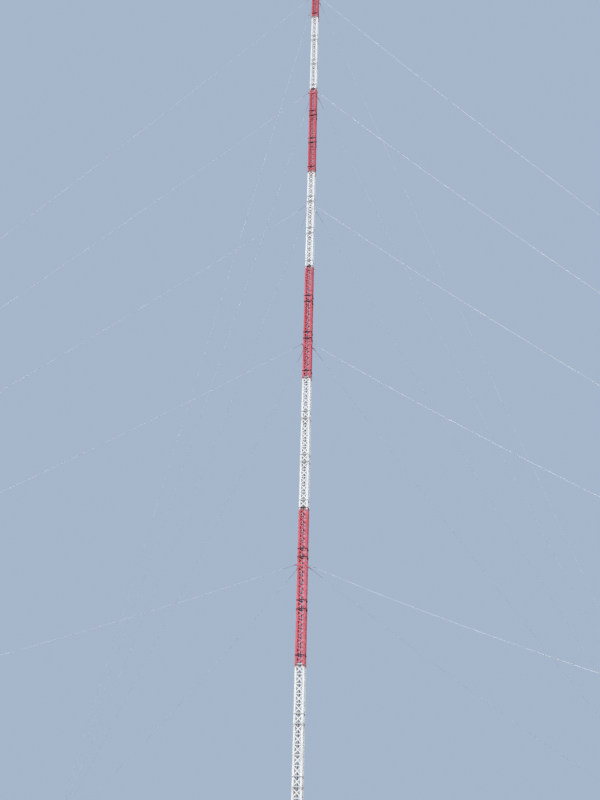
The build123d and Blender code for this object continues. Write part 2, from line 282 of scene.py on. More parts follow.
@dataclass(frozen=True)
class MastSizes:
    """What the frame says of the mast, and the few sizes that its boxes don't show.

    Attributes:
        foot: height of the legs' feet.
        half_face: half the mast's width over the legs.
        band_length: length of one band of paint.
        guy_levels: height of the middle of each guy frame, from the lowest.
        pin_radius: distance of the lugs' pins from the mast's axis.
        block_reach: distance of the middle of an anchor block from the mast's axis.
        block_top: height of the anchor blocks.
    """

    foot: float
    half_face: float
    band_length: float
    guy_levels: tuple[float, ...]
    pin_radius: float
    block_reach: float
    block_top: float
    band_count: int = 8
    sections_per_band: int = 3
    panels_per_section: int = 6
    leg_flange: float = 0.054
    leg_thickness: float = 0.003
    ring_width: float = 0.044
    ring_thickness: float = 0.004
    bar_thickness: float = 0.003
    bar_clearance: float = 0.001
    collar_thickness: float = 0.006
    lug_plate: float = 0.010
    lug_inset: float = 0.020
    foot_plate: float = 0.012
    shank_length: float = 0.330
    shank_lean: float = 45.0
    fan_pin_pitch: float = 0.048
    guy_slack: float = 0.300
    anchor_block_width: float = 0.520

    @classmethod
    def read(cls) -> "MastSizes":
        """Reads the sizes off the frame's boxes.

        Returns:
            The sizes.
        """
        legs_low, legs_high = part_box("band_1_legs")
        blocks_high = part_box("anchor_blocks")[1]
        lug_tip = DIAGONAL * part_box("guy_frame_5")[1].x - cls.lug_plate / 2
        return cls(
            foot=legs_low.z,
            half_face=legs_high.x,
            band_length=legs_high.z - legs_low.z,
            guy_levels=tuple(middle_of(f"guy_frame_{level}").z for level in range(1, 6)),
            pin_radius=lug_tip - cls.lug_inset,
            block_reach=DIAGONAL * blocks_high.x - cls.anchor_block_width,
            block_top=blocks_high.z,
        )

    @property
    def section_length(self) -> float:
        """Length of a section, from joint to joint."""
        return self.band_length / self.sections_per_band

    @property
    def panel_height(self) -> float:
        """Height of one panel of the bracing."""
        return self.section_length / self.panels_per_section

    @property
    def collar_face(self) -> float:
        """Distance of a guy frame's outer face from the mast's axis."""
        return self.half_face + self.collar_thickness

    @property
    def leg_line(self) -> float:
        """Distance of the middle of a leg's flange from the mast's middle, along the face."""
        return self.half_face - self.leg_flange / 2

    @property
    def brace_outer(self) -> float:
        """Distance of the bracing's outer side from the mast's middle."""
        return self.half_face - self.leg_thickness

    @property
    def ring_outer(self) -> float:
        """Distance of the ring frames' outer side from the mast's middle."""
        return self.brace_outer - self.bar_thickness

    @property
    def brace_reach(self) -> float:
        """How far the bracing's bars reach to each side of a face's middle."""
        return self.ring_outer - self.bar_clearance

    def joints(self) -> list[float]:
        """Heights of the sections' feet, from the ground."""
        count = self.band_count * self.sections_per_band
        return [self.foot + index * self.section_length for index in range(count)]

    def ring_tops(self) -> list[float]:
        """Heights of the ring frames' upper sides: at each joint, and one panel above."""
        over_panel = self.panel_height + self.ring_thickness / 2
        return [joint + rise for joint in self.joints() for rise in (self.ring_thickness, over_panel)]

    def band_foot(self, band: int) -> float:
        """Height of a band's foot, with 0 for the lowest band."""
        return self.foot + band * self.band_length

    def fan_pin(self, level: int) -> Vector:
        """A guy's pin on the fan plate, as a point (outwards, upwards).

        Args:
            level: the guy's level, with 0 for the lowest.

        Returns:
            The point.
        """
        lean = math.radians(self.shank_lean)
        along = (level - (len(self.guy_levels) - 1) / 2) * self.fan_pin_pitch
        out = self.block_reach + (along - self.shank_length) * math.cos(lean)
        up = self.block_top + self.foot_plate + (self.shank_length + along) * math.sin(lean)
        return Vector((out, up))

    def guy_point(self, level: int, share: float) -> Vector:
        """A point of a guy, as (outwards, upwards): share 0 is its lug and 1 its fan plate.

        Args:
            level: the guy's level, with 0 for the lowest.
            share: how far along the guy it lies.

        Returns:
            The point.
        """
        head = Vector((self.pin_radius, self.guy_levels[level]))
        point = head.lerp(self.fan_pin(level), share)
        point.y -= 4 * self.guy_slack * share * (1 - share)
        return point


@dataclass(frozen=True)
class PaintFinish:
    """Gloss paint on steel that has weathered: faded patches, dirt that has run down, rust at chips; with
    painted shade on the ring frames and a painted shadow under their rims.

    Attributes:
        sizes: the mast's sizes, which say where ring frames and joints lie.
        name: the material's name.
        fresh: colour of the sound paint.
        faded: colour where sun and salt have bleached it.
        shade: colour of the painted shade on the ring frames and of the painted shadow under their rims.
        shade_share: how strong that painted shade and shadow are.
        ring_depth: height of a ring frame with its flange.
        shadow_and_wash: how far the painted shadow under a rim reaches down the legs, streaked like
            washed-down dirt.
        shadow_and_wash_fade: share of that length over which it sets in.
        sharp: length over which a sharp edge of the painted shade sets in.
        shade_floor: least share of the painted shade on the ring frames, against its most.
        bleaching: how much paler the paint is by height, most of all at the foot.
        run_length: how far rust has run down from a joint.
        margin: how far the painted shade on a ring frame reaches past it.
        rim_edge: where the painted shade of the frames gives way to the painted shadow on the legs, past the
            frames' side.
        mottle: noise of the fine mottling, and the tones that it gives.
        grime_runs: where the streaks carry grime, and how much.
        rust_runs: where they carry rust under a joint, and how much.
        shadow_and_wash_runs: where the streaks carry that painted shadow down the legs, and how much.
        rust_halo: where a chip has a pale rim of rust.
        rust_core: where it has rusted through.
        flaking: where its paint has come off.
        shade_grain: noise that breaks up the painted shade and shadow.
        shade_range: values of that noise between which the painted shade sets in.
        gloss: noise of the roughness, and the roughness that it gives.
        brush_marks: noise of the surface.
        coat: weight and roughness of the clear coat.
    """

    sizes: MastSizes
    name: str
    fresh: Colour
    faded: Colour
    shade: Colour
    shade_share: float
    grime: Colour = (0.19, 0.16, 0.13)
    rust: Colour = (0.20, 0.062, 0.022)
    rust_pale: Colour = (0.42, 0.17, 0.075)
    ring_depth: float = 0.025
    shadow_and_wash: float = 0.036
    shadow_and_wash_fade: float = 0.6
    sharp: float = 0.001
    shade_floor: float = 0.75
    bleaching: Step = Step(0.0, 22.0, 0.45, 0.0)
    run_length: float = 0.22
    margin: float = 0.002
    rim_edge: tuple[float, float] = (0.0012, 0.0016)
    streaks: Grain = Grain(1.0, 5.0, 0.6)
    streak_stretch: tuple[float, float, float] = (46.0, 46.0, 1.8)
    chips: Grain = Grain(30.0, 8.0, 0.68)
    fading: tuple[tuple[Grain, Step], ...] = (
        (Grain(1.3, 4.0), Step(0.36, 0.72, 0.0, 0.4)),
        (Grain(14.0, 6.0, 0.62), Step(0.40, 0.64, 0.0, 0.42)),
    )
    relief: tuple[float, float] = (0.0006, 0.35)
    mottle: tuple[Grain, Step] = (Grain(70.0), Step(0.3, 0.7, 0.93, 1.05))
    grime_runs: Step = Step(0.50, 0.76, 0.0, 0.5)
    rust_runs: Step = Step(0.44, 0.66, 0.0, 0.5)
    shadow_and_wash_runs: Step = Step(0.30, 0.52, 0.45, 1.0)
    rust_halo: Step = Step(0.585, 0.66, 0.0, 0.55)
    rust_core: Step = Step(0.645, 0.68)
    flaking: Step = Step(0.64, 0.66)
    shade_grain: Grain = Grain(38.0, 4.0)
    shade_range: tuple[float, float] = (0.2, 0.55)
    gloss: tuple[Grain, Step] = (Grain(9.0, 4.0), Step(0.3, 0.75, 0.42, 0.64))
    brush_marks: Grain = Grain(340.0, 2.0)
    coat: tuple[float, float] = (0.06, 0.35)

    def banded(self, sheet: NodeSheet, lead: float, length: float, fade: float) -> Socket:
        """How far a height lies in the bands that belong to a section's two ring frames.

        Args:
            sheet: the material's nodes.
            lead: how far below its ring frame a band starts.
            length: how long a band is.
            fade: height over which it sets in.

        Returns:
            0 below a band, 1 past its fade, and 0 above it.
        """
        above_foot = sheet.calc("SUBTRACT", sheet.height(), self.sizes.foot - lead)
        height = sheet.calc("FLOORED_MODULO", above_foot, self.sizes.section_length)
        bands = []
        for low in (0.0, self.sizes.panel_height - self.sizes.ring_thickness / 2):
            high = low + length
            ends = (Step(low, low + fade), Step(high, high + self.sharp, 1.0, 0.0))
            bands.append(sheet.calc("MULTIPLY", *(sheet.ramp(height, end) for end in ends)))
        return sheet.calc("MAXIMUM", *bands)

    def shade_and_dirt(self, sheet: NodeSheet, runs: Socket) -> Socket:
        """How much painted shade there is: on the ring frames, and as a painted shadow on the legs under
        their rims, streaked like washed-down dirt.

        Args:
            sheet: the material's nodes.
            runs: noise of the streaks.

        Returns:
            A share from 0 to 1.
        """
        fade = self.shadow_and_wash * self.shadow_and_wash_fade
        on_ring = self.banded(sheet, self.margin, self.ring_depth + self.margin, self.sharp)
        # The band on the legs is a painted shadow under each rim, streaked like washed-down dirt.
        on_leg = self.banded(sheet, self.shadow_and_wash, self.shadow_and_wash + self.sizes.ring_thickness, fade)
        on_leg = sheet.calc("MULTIPLY", on_leg, sheet.ramp(runs, self.shadow_and_wash_runs))
        edge = Step(*(self.sizes.ring_outer + past for past in self.rim_edge))
        outside = sheet.ramp(sheet.reach(), edge)
        inside = sheet.calc("SUBTRACT", 1.0, outside)
        shares = [sheet.calc("MULTIPLY", *pair) for pair in ((on_ring, inside), (on_leg, outside))]
        return sheet.calc("ADD", *shares)

    def build(self) -> Material:
        """Makes the material.

        Returns:
            The material.
        """
        sheet = material_sheet(self.name)
        pitch = self.sizes.section_length
        runs = sheet.noise(self.streaks, sheet.stretched(self.streak_stretch))
        above_foot = sheet.calc("SUBTRACT", sheet.height(), self.sizes.foot)
        above_joint = sheet.calc("FLOORED_MODULO", above_foot, pitch)
        below_joint = sheet.ramp(above_joint, Step(pitch - self.run_length, pitch))
        chips = sheet.noise(self.chips)

        patches = [sheet.ramp(sheet.noise(grain), step) for grain, step in self.fading]
        bleached = sheet.ramp(sheet.height(), self.bleaching)
        colour = sheet.lay(self.fresh, self.faded, sheet.calc("ADD", sheet.calc("ADD", *patches), bleached))
        grain, tones = self.mottle
        colour = sheet.toned(colour, sheet.noise(grain), tones)
        colour = sheet.patched(colour, self.grime, runs, self.grime_runs)
        stain = sheet.calc("MULTIPLY", below_joint, sheet.ramp(runs, self.rust_runs))
        colour = sheet.lay(colour, self.rust_pale, stain)
        colour = sheet.patched(colour, self.rust_pale, chips, self.rust_halo)
        colour = sheet.patched(colour, self.rust, chips, self.rust_core)
        # Painted shade on the ring frames and a painted shadow on the legs under their rims, broken up by
        # noise.
        shares = Step(*self.shade_range, self.shade_floor * self.shade_share, self.shade_share)
        painted_shade = sheet.ramp(sheet.noise(self.shade_grain), shares)
        painted_shade = sheet.calc("MULTIPLY", self.shade_and_dirt(sheet, runs), painted_shade)
        colour = sheet.lay(colour, self.shade, painted_shade)

        grain, gloss = self.gloss
        roughness = sheet.ramp(sheet.noise(grain), gloss)
        height = sheet.calc("SUBTRACT", sheet.noise(self.brush_marks), sheet.ramp(chips, self.flaking))
        weight, coat = self.coat
        return sheet.finish(colour, roughness, height, self.relief, Coat_Weight=weight, Coat_Roughness=coat)


@dataclass(frozen=True)
class GalvanisedFinish:
    """Hot-dip galvanised steel: crystals of zinc, dulled, with white bloom and a few rust specks."""

    name: str = "galvanised"
    zinc: Colour = (0.42, 0.43, 0.44)
    zinc_dark: Colour = (0.27, 0.28, 0.30)
    bloom: Colour = (0.66, 0.66, 0.65)
    rust: Colour = (0.24, 0.085, 0.03)
    crystals: float = 150.0
    metallic: float = 0.55
    bloom_patches: tuple[Grain, Step] = (Grain(17.0, 6.0, 0.6), Step(0.52, 0.74, 0.0, 0.8))
    rust_specks: tuple[Grain, Step] = (Grain(64.0, 7.0, 0.7), Step(0.66, 0.71, 0.0, 0.85))
    gloss: tuple[float, float] = (0.38, 0.58)
    grit: Grain = Grain(230.0, 4.0)
    relief: tuple[float, float] = (0.0005, 0.4)

    def build(self) -> Material:
        """Makes the material.

        Returns:
            The material.
        """
        sheet = material_sheet(self.name)
        tone = sheet.add("SeparateColor", {"Color": sheet.cells(self.crystals, "Color")}).outputs
        colour = sheet.lay(self.zinc_dark, self.zinc, tone["Red"])
        for patch, (grain, step) in ((self.bloom, self.bloom_patches), (self.rust, self.rust_specks)):
            colour = sheet.patched(colour, patch, sheet.noise(grain), step)
        roughness = sheet.ramp(tone["Green"], Step(0.0, 1.0, *self.gloss))
        return sheet.finish(colour, roughness, sheet.noise(self.grit), self.relief, Metallic=self.metallic)


@dataclass(frozen=True)
class StrandFinish:
    """Galvanised wire strand, whose wires run round it by the "lay" attribute of its mesh, with painted shade
    in the grooves between them.
    """

    name: str = "strand"
    bright: Colour = (0.90, 0.91, 0.92)
    dull: Colour = (0.62, 0.63, 0.64)
    groove_shade: Colour = (0.13, 0.12, 0.11)
    wires: float = 6.0
    lay_length: float = 0.09
    roughness: float = 0.42
    metallic: float = 0.2
    dulling: tuple[Grain, Step] = (Grain(3.0, 6.0, 0.65), Step(0.4, 0.68))
    groove: Step = Step(-1.0, -0.55)
    relief: tuple[float, float] = (0.0015, 0.7)

    def build(self) -> Material:
        """Makes the material.

        Returns:
            The material.
        """
        sheet = material_sheet(self.name)
        lay = sheet.split(sheet.add("Attribute", attribute_name=LAY).outputs["Vector"])
        around = sheet.calc("ARCTAN2", lay["Y"], lay["X"])
        advance = sheet.calc("MULTIPLY", lay["Z"], 2 * math.pi / self.lay_length)
        wave = sheet.calc("COSINE", sheet.calc("MULTIPLY", sheet.calc("ADD", around, advance), self.wires))
        grain, step = self.dulling
        colour = sheet.patched(self.bright, self.dull, sheet.noise(grain), step)
        # Painted shade in the grooves between the wires.
        colour = sheet.patched(self.groove_shade, colour, wave, self.groove)
        height = sheet.ramp(wave, Step(-1.0, 1.0))
        return sheet.finish(colour, self.roughness, height, self.relief, Metallic=self.metallic)


@dataclass(frozen=True)
class ConcreteFinish:
    """Cast concrete: patches, sand, air holes with painted shade in them, and a damp, earth-stained foot."""

    name: str = "concrete"
    pale: Colour = (0.50, 0.48, 0.44)
    dark: Colour = (0.31, 0.30, 0.275)
    hole_shade: Colour = (0.10, 0.095, 0.09)
    earth: Colour = (0.20, 0.15, 0.10)
    stain_height: float = 0.055
    air_holes: float = 62.0
    sand_share: float = 0.3
    patches: tuple[Grain, Step] = (Grain(5.0, 8.0, 0.62), Step(0.32, 0.68))
    sand: Grain = Grain(420.0, 3.0, 0.7)
    sand_tone: Step = Step(0.3, 0.7, 0.82, 1.1)
    hole_rim: Step = Step(0.05, 0.12, 1.0, 0.0)
    hole_patches: tuple[Grain, Step] = (Grain(30.0, 2.0), Step(0.5, 0.6))
    stain_grain: Grain = Grain(22.0, 5.0)
    stain_foot: float = -0.01
    stain_strength: float = 0.75
    roughness: float = 0.88
    relief: tuple[float, float] = (0.003, 0.6)

    def build(self) -> Material:
        """Makes the material.

        Returns:
            The material.
        """
        sheet = material_sheet(self.name)
        grain, step = self.patches
        colour = sheet.patched(self.dark, self.pale, sheet.noise(grain), step)
        sand = sheet.noise(self.sand)
        colour = sheet.toned(colour, sand, self.sand_tone)
        grain, step = self.hole_patches
        # Painted shade in the air holes, which are also sunk into the relief.
        holes = sheet.ramp(sheet.cells(self.air_holes), self.hole_rim)
        holes = sheet.calc("MULTIPLY", holes, sheet.ramp(sheet.noise(grain), step))
        colour = sheet.lay(colour, self.hole_shade, holes)
        ragged = sheet.calc("MULTIPLY", sheet.noise(self.stain_grain), -self.stain_height)
        edge = sheet.calc("ADD", sheet.height(), ragged)
        fading = Step(self.stain_foot, self.stain_height / 2, self.stain_strength, 0.0)
        colour = sheet.patched(colour, self.earth, edge, fading)
        height = sheet.calc("SUBTRACT", sheet.calc("MULTIPLY", sand, self.sand_share), holes)
        return sheet.finish(colour, self.roughness, height, self.relief)


@dataclass(frozen=True)
class AluminiumFinish:
    """Drawn aluminium tube: die lines along X, under a thin dull oxide."""

    name: str = "drawn_aluminium"
    metal: Colour = (0.66, 0.67, 0.68)
    oxide: Colour = (0.46, 0.47, 0.48)
    metallic: float = 0.8
    oxide_patches: tuple[Grain, Step] = (Grain(14.0, 6.0, 0.6), Step(0.42, 0.70))
    lines: Grain = Grain(1.0, 4.0, 0.6)
    line_stretch: tuple[float, float, float] = (3.0, 900.0, 900.0)
    line_tone: Step = Step(0.3, 0.7, 0.9, 1.06)
    line_gloss: Step = Step(0.3, 0.7, 0.30, 0.46)
    relief: tuple[float, float] = (0.0002, 0.35)

    def build(self) -> Material:
        """Makes the material.

        Returns:
            The material.
        """
        sheet = material_sheet(self.name)
        lines = sheet.noise(self.lines, sheet.stretched(self.line_stretch))
        grain, step = self.oxide_patches
        colour = sheet.patched(self.metal, self.oxide, sheet.noise(grain), step)
        colour = sheet.toned(colour, lines, self.line_tone)
        roughness = sheet.ramp(lines, self.line_gloss)
        return sheet.finish(colour, roughness, lines, self.relief, Metallic=self.metallic)


@dataclass(frozen=True)
class MouldedFinish:
    """Plastic or rubber with a fine grain, and dust, chalk or yellowing in soft patches.

    Attributes:
        name: the material's name.
        clean: colour of the clean plastic.
        aged: colour of the patches.
        gloss: least and most roughness.
        patches: noise of the patches, and where they set in.
        gloss_grain: noise of the roughness.
        grain: noise of the surface.
        relief: how deep that grain is, and how strongly it shows.
    """

    name: str
    clean: Colour
    aged: Colour
    gloss: tuple[float, float]
    patches: tuple[Grain, Step] = (Grain(24.0, 5.0, 0.6), Step(0.46, 0.74))
    gloss_grain: Grain = Grain(40.0, 4.0)
    grain: Grain = Grain(900.0, 2.0)
    relief: tuple[float, float] = (0.0002, 0.4)

    def build(self) -> Material:
        """Makes the material.

        Returns:
            The material.
        """
        sheet = material_sheet(self.name)
        colour = sheet.patched(self.clean, self.aged, sheet.noise(self.patches[0]), self.patches[1])
        roughness = sheet.ramp(sheet.noise(self.gloss_grain), Step(0.3, 0.7, *self.gloss))
        return sheet.finish(colour, roughness, sheet.noise(self.grain), self.relief)


def middle_of(node: str) -> Vector:
    """The middle of a CAD node's box."""
    low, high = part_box(node)
    return (low + high) / 2


def shift(x: float, y: float, z: float) -> Matrix:
    """A move without a turn."""
    return Matrix.Translation((x, y, z))


def turn(degrees: float, axis: str = "Z") -> Matrix:
    """A turn round one of the axes."""
    return Matrix.Rotation(math.radians(degrees), 4, axis)


def turns(count: int, first: float = 0.0) -> list[Matrix]:
    """Turns at equal steps round Z, from a first one in degrees."""
    return [turn(first + 360.0 * index / count) for index in range(count)]


def square(half: float, height: float = 0.0) -> list[Matrix]:
    """Places at the four corners of a level square."""
    return [shift(x, y, height) for x, y in product((-half, half), repeat=2)]


# Turns that lay Z along +X, along +Y and downwards.
TO_X = turn(90.0, "Y")
TO_Y = turn(-90.0, "X")
OVER = turn(180.0, "X")


def station(origin: Vector, along: Vector, across: Vector) -> Matrix:
    """A frame on a path.

    Args:
        origin: a point of the path.
        along: direction of the path, which becomes Z.
        across: a direction beside it, whose square part becomes X.

    Returns:
        The frame as a matrix.
    """
    forward = along.normalized()
    side = (across - across.dot(forward) * forward).normalized()
    turned = Matrix((side, forward.cross(side), forward)).transposed().to_4x4()
    return Matrix.Translation(origin) @ turned


def along_path(points: list[Vector], across: Vector, closed: bool = False) -> list[Matrix]:
    """Frames along a row of points.

    Args:
        points: the path.
        across: a direction square to the path, which becomes X.
        closed: whether the path comes back to its start.

    Returns:
        One frame a point, with Z along the path.
    """
    count = len(points)
    frames = []
    for index, point in enumerate(points):
        before = points[index - 1] if closed or index > 0 else point
        after = points[(index + 1) % count] if closed or index < count - 1 else point
        frames.append(station(point, after - before, across))
    return frames


def arc(middle: Vector, first: Vector, second: Vector, angles: list[float]) -> list[Vector]:
    """Points of a circle, by angles from its first radius towards its second."""
    return [middle + math.cos(angle) * first + math.sin(angle) * second for angle in angles]


def thread(radii: tuple[float, float, float], foot: float, head: float, pitch: float, count: int) -> Profile:
    """Half the profile of a screw.

    Args:
        radii: radius at the start of each turn, halfway through it, and at the screw's head.
        foot: height of its foot.
        head: height of its head.
        pitch: height of a turn of its thread.
        count: how many turns it has.

    Returns:
        Points (radius, height) from foot to head.
    """
    points = [(0.0, foot)]
    for index in range(count):
        low = foot + index * pitch
        points += [(radii[0], low), (radii[1], low + pitch / 2)]
    return (*points, (radii[2], head), (0.0, head))


def verts_of(geometry: list[Vert | Edge | Face]) -> list[Vert]:
    """The vertices among some geometry."""
    return [item for item in geometry if isinstance(item, Vert)]


def break_edges(bm: BMesh, edges: list[Edge], width: float) -> None:
    """Gives some edges a narrow flat bevel."""
    bmesh.ops.bevel(bm, geom=edges, affect="EDGES", offset=width, segments=1, profile=0.5, material=-1)


def add_block(bm: BMesh, size: tuple[float, float, float], place: Matrix, edge: float = 0.0) -> None:
    """Adds a block with broken edges.

    Args:
        bm: the mesh.
        size: lengths along X, Y and Z.
        place: where its middle goes.
        edge: width of the bevel on its edges.
    """
    verts = bmesh.ops.create_cube(bm, size=1.0, matrix=place @ Matrix.Diagonal((*size, 1.0)))["verts"]
    if edge:
        break_edges(bm, list({e for v in verts for e in v.link_edges}), edge)


def add_rod(
    bm: BMesh, radius: float, length: float, place: Matrix, sides: int = 12, edge: float = 0.0
) -> list[Vert]:
    """Adds a round or many-sided rod along Z, with its foot at the place's origin.

    Args:
        bm: the mesh.
        radius: its radius.
        length: its length.
        place: its frame.
        sides: how many sides it has, which is more than four where its ends are bevelled.
        edge: width of the bevel round its ends.

    Returns:
        Its vertices, where its ends have no bevel.
    """
    verts = bmesh.ops.create_cone(
        bm, cap_ends=True, segments=sides, radius1=radius, radius2=radius, depth=length,
        matrix=place @ shift(0, 0, length / 2),
    )["verts"]
    if edge:
        caps = {f for v in verts for f in v.link_faces if len(f.verts) == sides}
        break_edges(bm, list({e for cap in caps for e in cap.edges}), edge)
    return verts


def add_screw_head(bm: BMesh, place: Matrix) -> None:
    """Adds the small hexagon head of a screw."""
    add_rod(bm, SCREW_RADIUS, SCREW_HEIGHT, place, 6, SCREW_EDGE)


def gather(seeds: set[Vert]) -> list[Vert]:
    """All vertices of the shells that some vertices belong to.

    Args:
        seeds: the vertices to start from.

    Returns:
        The vertices, in no order.
    """
    found = set(seeds)
    waiting = list(seeds)
    while waiting:
        for edge in waiting.pop().link_edges:
            new = set(edge.verts) - found
            found |= new
            waiting += new
    return list(found)


def add_turned(bm: BMesh, profile: Profile, place: Matrix, steps: int = 24) -> None:
    """Adds a piece turned from half its profile.

    Args:
        bm: the mesh.
        profile: points (radius, height), from one end to the other.
        place: its frame, turned round Z.
        steps: how many steps the turn has.
    """
    verts = [bm.verts.new((radius, 0.0, height)) for radius, height in profile]
    edges = [bm.edges.new(pair) for pair in zip(verts, verts[1:])]
    bmesh.ops.spin(
        bm, geom=verts + edges, cent=(0, 0, 0), axis=(0, 0, 1), angle=2 * math.pi, steps=steps, use_merge=True
    )
    whole = gather({vert for vert in verts if vert.is_valid})
    bmesh.ops.remove_doubles(bm, verts=whole, dist=MERGE_DISTANCE)
    whole = gather({vert for vert in whole if vert.is_valid})
    bmesh.ops.transform(bm, matrix=place, verts=whole)


def add_swept(
    bm: BMesh,
    radius: float,
    sides: int,
    stations: list[Matrix],
    swell: list[float] | None = None,
    lobe: float = 1.0,
    closed: bool = False,
) -> None:
    """Adds a bar, wire or tube along a path, by extruding its ring from station to station.

    Args:
        bm: the mesh.
        radius: radius of its section.
        sides: sides of its section.
        stations: frames along the path, with Z along it.
        swell: a factor on the radius at each station, or None.
        lobe: a factor on every second corner of the section, for a lobed one.
        closed: whether the last ring joins the first.
    """
    ring = bmesh.ops.create_circle(bm, cap_ends=False, radius=radius, segments=sides)["verts"]
    for vert in ring[::2]:
        vert.co *= lobe
    corners = {vert: vert.co.copy() for vert in ring}
    first = edges = list({e for v in ring for e in v.link_edges})
    lay = bm.verts.layers.float_vector.get(LAY)
    travelled = 0.0
    for index, place in enumerate(stations):
        if index:
            travelled += (place.translation - stations[index - 1].translation).length
            before = {vert.co.copy().freeze(): corner for vert, corner in corners.items()}
            grown = bmesh.ops.extrude_edge_only(bm, edges=edges)["geom"]
            corners = {vert: before[vert.co.copy().freeze()] for vert in verts_of(grown)}
            edges = [g for g in grown if isinstance(g, Edge) and corners.keys() >= set(g.verts)]
        for vert, corner in corners.items():
            vert.co = place @ (corner * (swell[index] if swell else 1.0))
            if lay:
                vert[lay] = corner / radius + Vector((0, 0, travelled))
    if closed:
        bmesh.ops.bridge_loops(bm, edges=first + edges)
    else:
        bmesh.ops.edgeloop_fill(bm, edges=first)
        bmesh.ops.edgeloop_fill(bm, edges=edges)


def add_square_ring(bm: BMesh, outer: float, width: float, depth: float, foot: float) -> None:
    """Adds a square ring of flat bar with mitred corners, round the mast's axis.

    Args:
        bm: the mesh.
        outer: distance of its outer side from the axis.
        width: how wide the bar is, seen from above.
        depth: how deep the bar is, upwards.
        foot: height of its underside.
    """
    made = bmesh.ops.create_grid(bm, x_segments=1, y_segments=1, size=outer, matrix=shift(0, 0, foot))
    middle = made["verts"][0].link_faces[0]
    rim = bmesh.ops.inset_individual(bm, faces=[middle], thickness=width, use_even_offset=True)["faces"]
    bmesh.ops.delete(bm, geom=[middle], context="FACES_ONLY")
    grown = bmesh.ops.extrude_face_region(bm, geom=rim)["geom"]
    bmesh.ops.translate(bm, vec=(0, 0, depth), verts=verts_of(grown))


def add_weld(bm: BMesh, start: Vector, end: Vector, chance: random.Random, radius: float = 0.003) -> None:
    """Adds a weld bead, a little uneven.

    Args:
        bm: the mesh.
        start: where it starts.
        end: where it ends.
        chance: source of its unevenness.
        radius: its radius.
    """
    run = end - start
    count = max(3, round(run.length / BEAD_PITCH))
    across = AXIS_Z if abs(run.normalized().z) < STEEP else AXIS_X
    points = [start + run * (index / count) for index in range(count + 1)]
    swell = [chance.uniform(*BEAD_SWELL) for _ in points]
    swell[0] = swell[-1] = BEAD_END
    add_swept(bm, radius, 6, along_path(points, across), swell)


def template(build: Callable[[BMesh], None]) -> Mesh:
    """Builds a mesh once, to be stamped in many places.

    Args:
        build: adds the shape to the bmesh that it is given.

    Returns:
        The mesh.
    """
    bm = bmesh.new()
    build(bm)
    bmesh.ops.recalc_face_normals(bm, faces=bm.faces)
    mesh = bpy.data.meshes.new("template")
    bm.to_mesh(mesh)
    bm.free()
    return mesh


def stamp(bm: BMesh, mesh: Mesh, places: list[Matrix]) -> None:
    """Adds a copy of a template at each place.

    Args:
        bm: the mesh.
        mesh: the template.
        places: a frame for each copy.
    """
    for place in places:
        copy = mesh.copy()
        copy.transform(place)
        bm.from_mesh(copy)
        bpy.data.meshes.remove(copy)


class Workshop:
    """Holds the finishes, and turns meshes into the scene's pieces."""

    def __init__(self, sizes: MastSizes, record: dict) -> None:
        """Makes the finishes.

        Args:
            sizes: the mast's sizes.
            record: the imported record, which says the slot of each node.
        """
        finishes = {
            # The fourth colour of each paint is its painted shade on the ring frames and painted shadow under
            # their rims, dark red for the red and grey for the white; the number after it is how strong it
            # is.
            Slot.PAINT_RED: PaintFinish(
                sizes, "red_paint", (0.60, 0.036, 0.060), (0.76, 0.18, 0.23), (0.110, 0.014, 0.024), 0.90
            ),
            Slot.PAINT_WHITE: PaintFinish(
                sizes, "white_paint", (0.88, 0.88, 0.87), (0.84, 0.83, 0.80), (0.46, 0.43, 0.38), 0.35
            ),
            Slot.GALVANISED: GalvanisedFinish(),
            Slot.STRAND: StrandFinish(),
            Slot.CONCRETE: ConcreteFinish(),
            Slot.ALUMINIUM: AluminiumFinish(),
            Slot.CABLE: MouldedFinish(
                "cable_sheath", (0.022, 0.022, 0.024), (0.12, 0.115, 0.11), (0.42, 0.66),
                (Grain(26.0, 6.0, 0.6), Step(0.48, 0.76)), Grain(60.0), Grain(500.0, 2.0), (0.0003, 0.3),
            ),
            Slot.INSTRUMENT: MouldedFinish(
                "dark_plastic", (0.03, 0.03, 0.033), (0.10, 0.095, 0.09), (0.35, 0.6)
            ),
            Slot.SCREEN: MouldedFinish(
                "white_plastic", (0.85, 0.85, 0.83), (0.78, 0.74, 0.62), (0.25, 0.42)
            ),
        }
        self.materials = {slot: finish.build() for slot, finish in finishes.items()}
        self.slot_of = {part["node"]: Slot(part["material_slot"]) for part in record["subparts"]}

    def dress_frame(self, nodes: dict[str, bpy.types.Object]) -> None:
        """Gives every CAD node its finish.

        Args:
            nodes: the CAD nodes by name.
        """
        for name, node in nodes.items():
            material = self.materials[self.slot_of[name]]
            if not node.material_slots:
                node.data.materials.append(material)
            for holder in node.material_slots:
                holder.material = material

    def piece(
        self,
        name: str,
        bm: BMesh,
        slot: Slot = Slot.GALVANISED,
        stands_for: tuple[str, ...] = (),
        crease: float = 35.0,
    ) -> None:
        """Makes a piece of the scene from a mesh, and frees the mesh.

        Args:
            name: the piece's name.
            bm: its mesh, in place.
            slot: the finish that it takes.
            stands_for: CAD nodes that it replaces.
            crease: angle in degrees past which an edge stays sharp.
        """
        bmesh.ops.recalc_face_normals(bm, faces=bm.faces)
        mesh = bpy.data.meshes.new(name)
        bm.to_mesh(mesh)
        bm.free()
        mesh.shade_smooth()
        mesh.set_sharp_from_angle(angle=math.radians(crease))
        mesh.materials.append(self.materials[slot])
        made = bpy.data.objects.new(name, mesh)
        bpy.context.scene.collection.objects.link(made)
        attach(made, ROOT)
        if stands_for:
            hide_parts(*stands_for)
        log.info("%s: %d faces", name, len(mesh.polygons))


